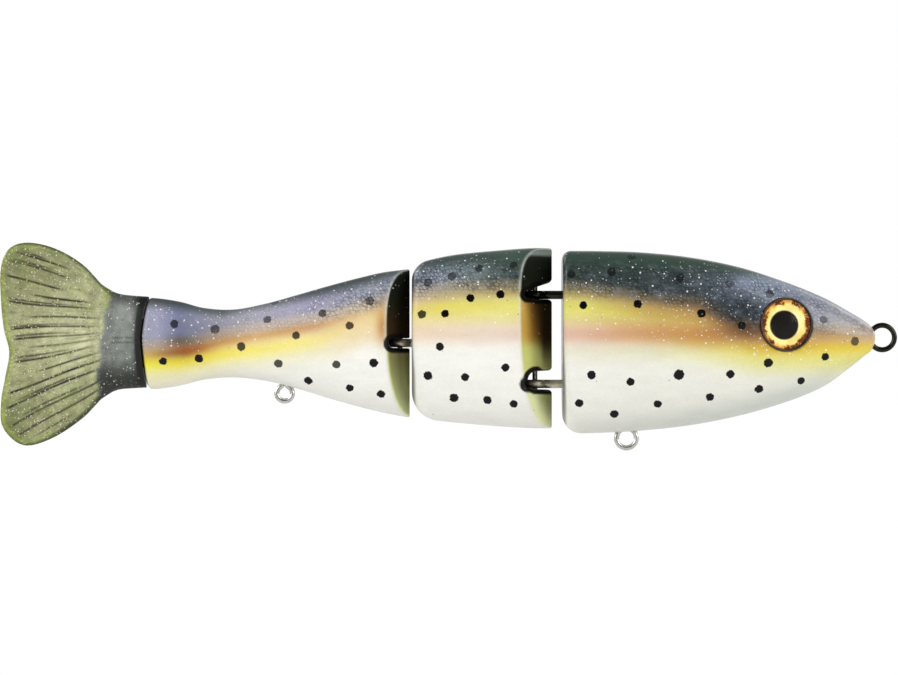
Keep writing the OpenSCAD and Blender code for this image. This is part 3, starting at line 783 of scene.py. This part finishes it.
def soft_piece():
    """The soft tail: boot and fin in one moulding."""
    low = np.array([FIN_LOW[0], -5, FIN_LOW[2]])
    high = np.array([TAIL_LOW[0] + 12, 5, FIN_HIGH[2]])
    points, quads = surface_net(soft_shape, low - 0.5, high + 0.5, SOFT_STEP)
    x, y, z = points.T
    inside = fin_inside(x, z)
    rays = ray_depth(x, z, inside)
    wander = 0.25 * np.sin(z * 0.9) + 0.12 * np.sin(z * 2.7 + 1)
    border = line(z, [(-16, -184.3), (-8, -184.2), (0, -183.4), (6, -182.2), (12, -180.6)]) + wander
    boot = rise(-0.8, 0.8, x - border)
    # Where the gap at the lips gets its painted shadow.
    gap = rise(1.5, 1.0, TAIL.distance(x + BOOT_GAP, y, z)) * boot
    ahead = x - FLEX_X
    paint = Paint(ahead, "#a6a87c")
    spray = paint.spray
    spray("#97956f", 0.6 * rise(-8, -18, ahead) * rise(1.5, 4, inside))
    spray("#6f7648", 0.75 * rise(-15, -22, ahead) * np.maximum(rise(13, 19, z), rise(-12, -20, z)))
    spray("#86885e", 0.45 * rise(-6, -12, ahead) * rise(7, 13, z))
    spray("#dcdcb4", 0.85 * bell(ahead + 9, 8.5) * bell(z, 8.5))
    spray("#a5b04e", rise(1.5, 0.6, inside), [(-24, 0.8), (-20, 0.6), (-10, 0.2)])
    # Painted shade: a darker line right along the fin's thin edge.
    spray("#3c4621", rise(0.9, 0.1, inside), [(-24, 0.3), (-19, 0.8), (-5, 0.9)])
    spray("#16150a", 1.4 * rays**1.35 * (1 - 0.5 * bell(z - 1, 7) * rise(-18, -10, ahead)))
    # Painted shade along the lower front of the fin's edge.
    spray("#3d452a", rise(1.6, 0.2, inside) * rise(0, 8, ahead + 18) * rise(-6, -14, z))
    spray(boot_paint(x, z, gap), boot)
    piece = new_piece("soft_tail", points, quads)
    back, up = RAY_APEX[0] - x, z - RAY_APEX[1]
    store(piece.data, "polar", np.column_stack([0.1 * bounded(back, up), 55 * np.arctan2(up, back), 0 * x]))
    store(piece.data, "paint", linear(paint.colour), True)
    store(piece.data, "masks", np.column_stack([1 - gap, 1 - boot, rays]), True)
    return piece


# ---------------------------------------------------------------- hardware and eyes

def tube(name, path, radius, sides=28):
    """A round wire along a path of points, with rounded ends."""
    path = np.asarray(path, float)
    run = np.gradient(path, axis=0)
    run /= np.linalg.norm(run, axis=1)[:, None]
    side = np.cross(run[0], (0, 0, 1) if abs(run[0][2]) < 0.9 else (1, 0, 0))
    side = side / np.linalg.norm(side)
    up = np.cross(side, run[0])
    rings, turns = [], np.linspace(0, 2 * math.pi, sides, endpoint=False)
    caps = np.linspace(0, math.pi / 2, 5)[:-1]
    sizes = [(0, -radius * math.cos(a), radius * math.sin(a)) for a in caps]
    sizes += [(i, 0, radius) for i in range(len(path))]
    sizes += [(len(path) - 1, radius * math.cos(a), radius * math.sin(a)) for a in caps[::-1]]
    at = 0
    for i, shift, r in sizes:
        if i != at:
            side = side - run[i] * (side @ run[i])
            side /= np.linalg.norm(side)
            up, at = np.cross(side, run[i]), i
        r = max(r, 1e-3)
        rings.append(path[i] + run[i] * shift + np.outer(np.cos(turns), side * r) + np.outer(np.sin(turns), up * r))
    return new_piece(name, np.concatenate(rings), tube_faces(len(rings), sides))


def tube_faces(rings, sides):
    """Quads between rings of points, wound to face outward, with end caps."""
    faces = [(i * sides + j, i * sides + (j + 1) % sides, (i + 1) * sides + (j + 1) % sides, (i + 1) * sides + j)
             for i in range(rings - 1) for j in range(sides)]
    return faces + [tuple(range(sides))[::-1], tuple((rings - 1) * sides + j for j in range(sides))]


def bent_eye(name, size, centre, along, flat):
    """A screw eye bent from wire: along is where its shank runs, flat is the other direction in the ring's plane."""
    ring_d, wire_d, shank_l = size
    r, bend = (ring_d - wire_d) / 2, 1.6 * wire_d
    turn = np.radians(np.linspace(30, 336, 72))
    ring = np.column_stack([r * np.cos(turn), r * np.sin(turn)])
    neck = r + 1.5 * wire_d
    away = np.array([-math.sin(turn[0]), math.cos(turn[0])])
    lead = [hermite(u, np.array([neck, 0]), ring[0], np.array([-bend, 0]), bend * away)
            for u in np.linspace(0, 1, 14, endpoint=False)]
    shank = [(x, 0) for x in np.linspace(r + shank_l, neck, 30, endpoint=False)]
    flat_path = np.array([*shank, *lead, *ring])
    path = np.array(centre) + np.outer(flat_path[:, 0], along) + np.outer(flat_path[:, 1], flat)
    return tube(name, path, wire_d / 2)


def lathe(name, profile, eye, turns=96):
    """A turned piece on an eye's axis: profile is a list of (radius, height over the seat)."""
    angles = np.linspace(0, 2 * math.pi, turns, endpoint=False)
    points, disc = [], []
    for r, h in profile:
        across, up = max(r, 1e-3) * np.cos(angles), max(r, 1e-3) * np.sin(angles)
        points.append(eye.centre + np.outer(across, eye.ahead) + np.outer(up, eye.up) + h * eye.out)
        disc.append(np.column_stack([across, up, np.full(turns, float(h))]))
    faces = tube_faces(len(profile), turns)
    if eye.side == 1:
        faces = [f[::-1] for f in faces]
    piece = new_piece(name, np.concatenate(points), faces)
    store(piece.data, "disc", np.concatenate(disc))
    return piece


def eye_pieces(eye, side_name):
    """Foil with its printed pupil and iris, clear dome, and a dark ring round them: a painted shadow of the
    recess's edge.
    """
    foil_rings, deep, crown = 26, 1.25, 1.25
    bead_spread, bead_height, bead_r = 6.02, 1.55, 0.2
    foil = lathe(side_name + "_eye_iris", [(EYE_R * i / foil_rings, deep - 0.06) for i in range(foil_rings + 1)]
                 + [(EYE_R, deep - 0.1), (EYE_R, 0.1), (EYE_R - 0.05, 0.05), (0, 0.05)], eye)
    ball_r = (crown**2 + EYE_R**2) / (2 * crown)
    cap = [(ball_r * math.sin(a), deep + crown - ball_r + ball_r * math.cos(a))
           for a in np.linspace(0, math.asin(EYE_R / ball_r), 30)]
    dome = lathe(side_name + "_eye_lens", cap + [(EYE_R - 0.1, deep), (0, deep)], eye)
    # The dark ring round the eye is a painted shadow of the recess's edge.
    bead = [(bead_spread + bead_r * math.cos(a), bead_height + bead_r * math.sin(a))
            for a in np.radians(np.linspace(-40, 200, 12))]
    rim_shadow_ring = lathe(side_name + "_eye_rim_shadow_ring", [(6.2, 0), *bead, (EYE_R, 0), (6.2, 0)], eye)
    return foil, dome, rim_shadow_ring


# ---------------------------------------------------------------- materials

class Tree:
    """Short ways to write the nodes of a material or of the world. A colour may be a code such as #c0ffee."""

    def __init__(self, name, world=False):
        self.owner = (bpy.data.worlds if world else bpy.data.materials).new(name)
        self.owner.use_nodes = True
        self.nodes, self.links = self.owner.node_tree.nodes, self.owner.node_tree.links
        self.nodes.clear()
        self.output = self.nodes.new("ShaderNodeOutput" + ("World" if world else "Material"))

    def add(self, kind, inputs=None, **settings):
        node = self.nodes.new("ShaderNode" + kind)
        for key, value in settings.items():
            setattr(node, key, value)
        for key, value in (inputs or {}).items():
            self.put(node.inputs[key], value)
        return node

    def put(self, socket, value):
        if isinstance(value, bpy.types.NodeSocket):
            self.links.new(value, socket)
        else:
            socket.default_value = rgba(value) if isinstance(value, str) else value

    def math(self, operation, a, b):
        return self.add("Math", {0: a, 1: b}, operation=operation).outputs[0]

    def times(self, *factors):
        result = factors[0]
        for factor in factors[1:]:
            result = self.math("MULTIPLY", result, factor)
        return result

    def plus(self, a, b):
        return self.math("ADD", a, b)

    def vector(self, operation, *vectors):
        """Result of a vector operation: a length is a number, all else a vector."""
        node = self.add("VectorMath", dict(enumerate(vectors)), operation=operation)
        return node.outputs["Value" if operation == "LENGTH" else "Vector"]

    def scaled(self, vector, by):
        return self.vector("MULTIPLY", vector, by)

    def ramp(self, value, low, high, start=0.0, end=1.0):
        """start below low, end above high, smooth between."""
        return self.add("MapRange", {"Value": value, "From Min": low, "From Max": high, "To Min": start, "To Max": end},
                        interpolation_type="SMOOTHSTEP").outputs[0]

    def mix(self, share, a, b, blend="MIX"):
        return self.add("Mix", {0: share, 6: a, 7: b}, data_type="RGBA", blend_type=blend).outputs[2]

    def over(self, colour, tint, *shares):
        """Lays a tint over a colour, by the product of the shares."""
        return self.mix(self.times(*shares), colour, tint)

    def grey(self, value):
        return self.add("CombineColor", dict.fromkeys(range(3), value)).outputs[0]

    def shaded(self, colour, value):
        """A colour made lighter or darker by a value."""
        return self.mix(1.0, colour, self.grey(value), "MULTIPLY")

    def attribute(self, name, output="Vector"):
        return self.add("Attribute", attribute_name=name).outputs[output]

    def parts(self, socket):
        return self.add("SeparateXYZ", {"Vector": socket}).outputs

    def noise(self, vector, scale, detail=2.0, rough=0.5):
        inputs = {"Vector": vector, "Scale": scale, "Detail": detail, "Roughness": rough}
        return self.add("TexNoise", inputs).outputs["Fac"]

    def cells(self, vector, scale, feature="F1", random=1.0):
        return self.add("TexVoronoi", {"Vector": vector, "Scale": scale, "Randomness": random}, feature=feature).outputs

    def bump(self, height, strength, distance):
        return self.add("Bump", {"Height": height, "Strength": strength, "Distance": distance}).outputs[0]

    def shader_mix(self, share, a, b):
        return self.add("MixShader", {0: share, 1: a.outputs[0], 2: b.outputs[0]})

    def finish(self, shader):
        """Sends a shader to the output. Inputs given as a dict make a principled shader."""
        if isinstance(shader, dict):
            shader = self.add("BsdfPrincipled", shader)
        self.links.new(shader.outputs[0], self.output.inputs["Surface"])
        return self.owner


def glitter(tree, place, cell, size, share, seed):
    """Round flecks scattered through a coat: 1 on a fleck. share is how many of the cells hold one."""
    cells = tree.cells(tree.vector("ADD", place, (seed, seed * 0.7, seed * 1.3)), 1 / cell)
    chosen = tree.math("LESS_THAN", tree.parts(cells["Color"])[0], share)
    return tree.times(tree.ramp(cells["Distance"], size / cell, size * 0.65 / cell), chosen)


def painted_coat(name):
    """Airbrushed lure paint under a thick clear coat."""
    t = Tree(name)
    place, dots = t.attribute("place"), t.attribute("dots")
    flecks, net, ink = t.parts(t.attribute("masks", "Color"))[0:3]
    cloud = t.noise(t.scaled(place, (0.16, 0.3, 0.45)), 1.0, 3.0)
    colour = t.shaded(t.attribute("paint", "Color"), t.ramp(cloud, 0.25, 0.75, 0.975, 1.03))
    colour = t.shaded(colour, t.ramp(t.noise(place, 2.6, 2.0), 0.25, 0.75, 0.97, 1.03))
    along, _, up = t.parts(place)
    slanted = t.plus(t.times(along, 1.05), t.times(up, 0.62))
    scales = t.add("CombineXYZ", {0: slanted, 2: t.times(up, 1.24)}).outputs[0]
    mesh = t.cells(scales, 1.0, "DISTANCE_TO_EDGE", 0.55)["Distance"]
    strand = t.times(t.ramp(mesh, 0.19, 0.05), t.ramp(t.noise(place, 0.3), 0.3, 0.65, 0.3, 1.0))
    sheen = t.ramp(t.noise(t.scaled(place, (0.5, 0.7, 0.9)), 1.0, 3.0, 0.6), 0.42, 0.75)
    colour = t.over(colour, "#b4b9d0", sheen, net, 0.16)
    colour = t.over(colour, "#1c2226", strand, net, 0.68)
    sparse = glitter(t, place, 1.4, 0.25, t.times(flecks, 0.52), 3.0)
    fine = glitter(t, place, 0.7, 0.15, t.times(flecks, 0.48), 17.0)
    fleck = t.math("MAXIMUM", sparse, t.times(fine, 0.8))
    specks = glitter(t, place, 2.4, 0.19, t.plus(0.12, t.times(flecks, 0.6)), 41.0)
    colour = t.over(colour, "#4a3f2c", specks, 0.6)
    fleck_tint = t.over(colour, "#fffdf6", 0.8)
    radius = t.plus(t.vector("LENGTH", dots), t.attribute("dots", "Alpha"))
    radius = t.plus(radius, t.ramp(t.noise(place, 1.7, 3.0, 0.7), 0.2, 0.8, -0.17, 0.17))
    dot = t.times(t.ramp(radius, 1.05, 0.9), ink)
    colour = t.over(colour, "#070507", dot)
    colour = t.over(colour, fleck_tint, fleck, t.math("SUBTRACT", 1.0, t.times(dot, 0.85)))
    return t.finish({
        "Base Color": colour, "Roughness": t.ramp(fleck, 0.0, 1.0, 0.42, 0.22), "Specular IOR Level": 0.06,
        "Normal": t.bump(t.plus(t.times(fleck, 0.4), t.times(dot, 0.5)), 0.25, 0.0002),
        "Coat Weight": 0.5, "Coat Roughness": 0.03, "Coat IOR": 1.45,
        "Coat Normal": t.bump(t.noise(place, 0.45, 1.0), 0.12, 0.0004),
    })


def soft_plastic():
    """Soft, slightly clear plastic loaded with gold and silver glitter and black pepper."""
    t = Tree("soft_plastic")
    place = t.attribute("place")
    amount, fin, _ = t.parts(t.attribute("masks", "Color"))
    cloud = t.ramp(t.noise(place, 0.5, 4.0, 0.65), 0.3, 0.7, 0.74, 1.2)
    colour = t.shaded(t.attribute("paint", "Color"), cloud)
    streaks = t.ramp(t.noise(t.attribute("polar"), 1.0, 3.0, 0.65), 0.5, 0.72)
    colour = t.over(colour, "#4f5230", streaks, fin, 0.42)
    patches = t.ramp(t.noise(place, 0.24, 3.0, 0.6), 0.45, 0.6)
    colour = t.over(colour, "#86964a", patches, fin, 0.2)
    colour = t.over(colour, "#3b3a28", glitter(t, place, 1.1, 0.22, 0.6, 5.0), fin, 0.6)
    amount = t.times(amount, t.ramp(t.noise(place, 0.28, 2.0), 0.36, 0.62, 0.45, 1.15))
    gold = glitter(t, place, 0.6, 0.16, t.times(amount, 0.75), 9.0)
    silver = glitter(t, place, 0.75, 0.17, t.times(amount, 0.5), 23.0)
    colour = t.over(colour, "#dcdca0", gold, t.ramp(fin, 0.0, 1.0, 0.25, 0.8))
    colour = t.over(colour, "#f3f4ea", silver, 0.85)
    return t.finish({
        "Base Color": colour, "Roughness": t.ramp(t.math("MAXIMUM", gold, silver), 0.0, 1.0, 0.4, 0.22),
        "Specular IOR Level": 0.45, "Subsurface Weight": 0.12, "Subsurface Radius": (1.0, 0.9, 0.5),
        "Subsurface Scale": MM, "Normal": t.bump(t.noise(place, 1.4, 3.0), 0.35, 0.0002),
    })


def plated_wire(name, tone, rough, stain):
    """Nickel-plated wire, drawn lines along it and a little tarnish."""
    t = Tree(name)
    place = t.attribute("place")
    tarnish = t.ramp(t.noise(place, 0.8, 4.0, 0.6), 0.4, 0.7)
    streaks = t.noise(t.scaled(place, (0.6, 7.0, 7.0)), 1.0, 2.0)
    return t.finish({
        "Base Color": t.over(tone, stain, tarnish, 0.5), "Metallic": 1.0,
        "Roughness": t.ramp(streaks, 0.2, 0.8, rough, rough + 0.12), "Normal": t.bump(streaks, 0.15, 0.0001),
    })


def cad_metal(name, tone, rough, worn):
    """A hidden metal part: drawn or cast, dull in patches. Reads the object's own coordinates."""
    t = Tree(name)
    place = t.add("TexCoord").outputs["Object"]
    patches = t.noise(place, 900.0, 4.0, 0.65)
    lines = t.noise(t.scaled(place, (3000.0, 3000.0, 300.0)), 1.0, 2.0)
    return t.finish({
        "Base Color": t.over(tone, worn, t.ramp(patches, 0.35, 0.7)), "Metallic": 1.0,
        "Roughness": t.ramp(patches, 0.3, 0.7, rough, rough + 0.2), "Normal": t.bump(lines, 0.2, 0.0001),
    })


def iris_tints(t, value):
    """Colour of the iris from the pupil out: value is the distance from its centre as a share of IRIS_REACH."""
    ramp = t.add("ValToRGB", {"Fac": value})
    stops = [(0.45, "#fef9cc"), (0.69, "#fdf2a2"), (0.76, "#fdd06a"), (0.82, "#dd8f3c"), (0.87, "#f6c070"),
             (0.95, "#a85c26")]
    elements = ramp.color_ramp.elements
    while len(elements) < len(stops):
        elements.new(1.0)
    for element, (at, tint) in zip(elements, stops):
        element.position, element.color = at, rgba(tint)
    return ramp.outputs["Color"]


# Print on an eye's disc: both centres stand a little behind and under its middle.
PUPIL_AT, PUPIL_R = (-0.55, -0.15, 0.0), 3.26
IRIS_AT, IRIS_REACH = (-0.2, -0.1, 0.0), 6.5


def iris_foil():
    """Crinkled gold foil printed with a black pupil and an amber, brown-edged iris. It glows a little: painted light.
    """
    t = Tree("iris_foil")
    disc = t.attribute("disc")
    flat = t.scaled(disc, (1.0, 1.0, 0.0))
    from_pupil = t.vector("SUBTRACT", flat, PUPIL_AT)
    radius = t.vector("LENGTH", from_pupil)
    lobes = t.noise(t.vector("NORMALIZE", from_pupil), 1.9, 4.0, 0.62)
    crinkle = t.noise(disc, 1.1, 3.0, 0.6)
    ragged = t.plus(t.ramp(lobes, 0.3, 0.7, -0.35, 0.35), t.ramp(crinkle, 0.3, 0.7, -0.15, 0.15))
    ring = t.plus(t.vector("LENGTH", t.vector("SUBTRACT", flat, IRIS_AT)), ragged)
    colour = iris_tints(t, t.math("DIVIDE", ring, IRIS_REACH))
    colour = t.over(colour, "#dcc84c", t.ramp(t.noise(disc, 0.2, 2.0), 0.5, 0.68, 0.0, 0.5))
    stains = t.ramp(t.noise(disc, 0.42, 3.0, 0.6), 0.44, 0.55)
    colour = t.over(colour, "#6c2e0e", stains, t.ramp(ring, 4.6, 5.0))
    colour = t.over(colour, "#2a1c0e", t.ramp(t.vector("LENGTH", flat), 5.6, 5.85))
    colour = t.over(colour, "#6a4a1c", t.ramp(radius, 3.6, 3.3))
    pupil = t.ramp(radius, PUPIL_R + 0.06, PUPIL_R - 0.06)
    colour = t.over(colour, "#040404", pupil)
    return t.finish({
        "Base Color": colour, "Metallic": t.ramp(pupil, 0.0, 1.0, 0.1, 0.0), "Roughness": 0.45,
        # Painted light: the foil glows a little.
        "Specular IOR Level": 0.2, "Emission Color": colour, "Emission Strength": 0.3,
        "Normal": t.bump(crinkle, 0.2, 0.0003),
    })


def clear_dome():
    """Clear epoxy lens: what lies under it shows, its skin mirrors the lights."""
    t = Tree("clear_dome")
    wave = t.bump(t.noise(t.attribute("place"), 0.5, 1.0), 0.1, 0.0002)
    clear = t.add("BsdfTransparent", {"Color": (0.97, 0.96, 0.92, 1)})
    gloss = t.add("BsdfGlossy", {"Roughness": 0.06, "Normal": wave})
    share = t.times(t.add("Fresnel", {"IOR": 1.38, "Normal": wave}).outputs[0], 0.32)
    return t.finish(t.shader_mix(share, clear, gloss))


def eye_rim_shadow():
    """Painted shadow of an eye recess's edge: a near-black ring, darkest ahead, browner behind."""
    t = Tree("eye_rim_shadow")
    place = t.attribute("place")
    tone = t.ramp(t.noise(place, 0.9, 3.0), 0.35, 0.65)
    ahead = t.ramp(t.parts(t.attribute("disc"))[0], -3.5, 3.0)
    colour = t.mix(ahead, t.mix(tone, "#5a3818", "#3c2512"), t.mix(tone, "#0c0b08", "#1e1c12"))
    return t.finish({"Base Color": colour, "Roughness": t.ramp(tone, 0, 1, 0.3, 0.45), "Coat Weight": 0.2,
                     "Coat Roughness": 0.1, "Normal": t.bump(t.noise(place, 1.3, 2.0), 0.2, 0.0002)})


WHITE = (1, 1, 1, 1)


def studio_floor():
    """Plain white sweep: white to the camera, a mild glow for the belly."""
    t = Tree("studio_floor")
    tone = t.ramp(t.noise(t.add("TexCoord").outputs["Object"], 3.0, 2.0), 0.3, 0.7, 0.99, 1.0)
    seen = t.add("Emission", {"Color": t.grey(tone), "Strength": 1.02})
    lit = t.add("BsdfPrincipled", {"Base Color": (0.35, 0.35, 0.35, 1), "Roughness": 0.9, "Specular IOR Level": 0.1,
                                   "Emission Color": WHITE, "Emission Strength": 0.4})
    return t.finish(t.shader_mix(t.add("LightPath").outputs["Is Camera Ray"], lit, seen))


def studio_room():
    """The room is dim where the flank mirrors it and bright elsewhere; the camera sees plain white."""
    t = Tree("studio", world=True)
    _, across, up = t.parts(t.add("TexCoord").outputs["Generated"])
    level = t.times(t.ramp(across, -0.92, -0.65, 0.04, 0.85), t.ramp(up, 0.2, 0.55, 1.0, 0.35))
    room = t.add("Background", {"Color": WHITE, "Strength": level})
    white = t.add("Background", {"Color": WHITE})
    return t.finish(t.shader_mix(t.add("LightPath").outputs["Is Camera Ray"], room, white))


# ---------------------------------------------------------------- assembly

def dress(piece, material, body, slot, *nodes):
    """Gives a piece its material, the body it rides on and the CAD nodes it stands for. slot is not used."""
    piece.data.materials.append(material)
    if body:
        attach(piece, body)
    if nodes:
        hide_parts(*nodes)


def build_bodies():
    head = body_piece("head_skin", head_shape, HEAD, HEAD_DOTS, HEAD_LOW, HEAD_HIGH, HEAD_STEP)
    mid = body_piece("middle_skin", mid_shape, MID, MID_DOTS, MID_LOW, MID_HIGH, SECTION_STEP,
                     FRONT_WEDGE, FRONT_SLOTS, FRONT_FACE)
    tail = body_piece("tail_skin", tail_shape, TAIL, TAIL_DOTS, TAIL_LOW, TAIL_HIGH, SECTION_STEP,
                      REAR_WEDGE, REAR_SLOTS, REAR_FACE)
    coat = painted_coat("painted_coat")
    dress(head, coat, "head", "head_paint", "head_section", "head_ballast_plugs")
    dress(mid, coat, "middle", "middle_paint", "middle_section", "front_pin_plug", "middle_ballast_plug")
    dress(tail, coat, "tail", "tail_paint", "tail_section", "rear_pin_plug", "tail_ballast_plug", "boot_pin_plug")
    soft = soft_piece()
    dress(soft, soft_plastic(), None, "soft_fin", "tail_boot", "tail_fin")
    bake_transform(soft)


# Screw eyes: ring's outer diameter, wire, and how far the shank reaches from the ring.
LINE_TIE, FRONT_HANGER, REAR_HANGER, HINGE_EYE = (7, 1.25, 15), (5.9, 1.25, 15), (4.9, 1.25, 15), (5.5, 2, 17)
BACKWARD, FORWARD, ASIDE, UPWARD = (-1, 0, 0), (1, 0, 0), (0, 1, 0), (0, 0, 1)


def build_hardware():
    black = plated_wire("black_nickel", "#34352f", 0.14, "#1a1a17")
    bright = plated_wire("bright_nickel", "#dededa", 0.17, "#a0a092")
    # Painted reflection: the lower and rear hinge eyes, of the same make as the upper one, get this pale tone to stand
    # in for the light they mirror.
    dark = plated_wire("dark_nickel", "#ebe3cb", 0.4, "#958a76")
    high = box_mm("line_tie")[1]
    tie = (high[0] - LINE_TIE[0] / 2, 0, high[2] - LINE_TIE[0] / 2)
    dress(bent_eye("line_tie_wire", LINE_TIE, tie, BACKWARD, UPWARD), black, "head", "black_nickel", "line_tie")
    for node, body, size in (("front_hook_hanger", "head", FRONT_HANGER), ("rear_hook_hanger", "tail", REAR_HANGER)):
        low, high = box_mm(node)
        centre = ((low[0] + high[0]) / 2, 0, low[2] + size[0] / 2)
        dress(bent_eye(node + "_wire", size, centre, UPWARD, FORWARD), bright, body, "bright_nickel", node)
    for node, body, metal, pin_x in (("upper_hinge_eye", "head", black, FRONT_PIN_X),
                                     ("lower_hinge_eye", "head", dark, FRONT_PIN_X),
                                     ("rear_hinge_eye", "middle", dark, REAR_PIN_X)):
        centre = (pin_x, 0, ring_height(node))
        dress(bent_eye(node + "_wire", HINGE_EYE, centre, FORWARD, ASIDE), metal, body, "dark_nickel", node)


def build_eyes():
    foil_material, lens_material, rim_shadow_material = iris_foil(), clear_dome(), eye_rim_shadow()
    for eye, side_name in zip(EYES, ("right", "left")):
        foil, dome, rim_shadow_ring = eye_pieces(eye, side_name)
        dress(foil, foil_material, "head", "eye_foil", side_name + "_eye_foil")
        dress(dome, lens_material, "head", "eye_dome", side_name + "_eye_dome")
        dress(rim_shadow_ring, rim_shadow_material, "head", "head_paint")


def dress_cad_nodes():
    """Materials for the CAD nodes that stay: hinge pins and the lead inside."""
    steel = cad_metal("pin_steel", "#a9a9a4", 0.25, "#5d5b55")
    lead = cad_metal("cast_lead", "#6f7276", 0.5, "#4b4d50")
    for name, material in (("front_hinge_pin", steel), ("rear_hinge_pin", steel), ("boot_pin", steel),
                           ("head_ballast", lead), ("middle_ballast", lead), ("tail_ballast", lead)):
        slots = frame["nodes"][name].data.materials
        slots.clear()
        slots.append(material)


# ---------------------------------------------------------------- floor, light and camera

def soft_light(name, place, target, size, radiance):
    """A rectangular soft light that a camera doesn't see; radiance is how bright its face is."""
    light = bpy.data.lights.new(name, "AREA")
    light.shape, light.size, light.size_y = "RECTANGLE", size[0], size[1]
    light.energy = radiance * math.pi * size[0] * size[1]
    lamp = bpy.data.objects.new(name, light)
    lamp.location = place
    lamp.rotation_euler = (Vector(target) - Vector(place)).to_track_quat("-Z", "Y").to_euler()
    lamp.visible_camera = False
    bpy.context.scene.collection.objects.link(lamp)


def build_studio():
    low, high = CAD_BOX
    middle = (low + high) / 2
    floor_mesh = bpy.data.meshes.new("studio_floor")
    r, z = 4.0, low.z - 0.0006                # metres: the floor's half width, just clear of the hanger
    floor_mesh.from_pydata([(-r, -r, z), (r, -r, z), (r, r, z), (-r, r, z)], [], [(0, 1, 2, 3)])
    floor_mesh.materials.append(studio_floor())
    floor = bpy.data.objects.new("studio_floor", floor_mesh)
    bpy.context.scene.collection.objects.link(floor)

    aside, depth, height, size = 0.62, 0.5, 0.36, (0.5, 0.6)
    for side in (-1, 1):
        across = middle.x + side * aside
        soft_light("front_box_%d" % side, (across, -depth, height), (middle.x, 0, 0), size, 4.0)
        soft_light("rear_box_%d" % side, (across, depth, height), (middle.x, 0, 0), size, 2.2)

    scene = bpy.context.scene
    scene.world = studio_room()
    scene.view_settings.view_transform = "Standard"
    camera = bpy.data.cameras.new("camera")
    camera.sensor_width = 36
    camera_back, view_width = 1.2, 0.211
    camera.lens = camera.sensor_width * camera_back / view_width
    holder = bpy.data.objects.new("camera", camera)
    holder.location = (middle.x + 0.0001, -camera_back, 0)
    holder.rotation_euler = (math.radians(90), 0, 0)
    scene.collection.objects.link(holder)
    scene.camera = holder


build_bodies()
build_hardware()
build_eyes()
dress_cad_nodes()
build_studio()
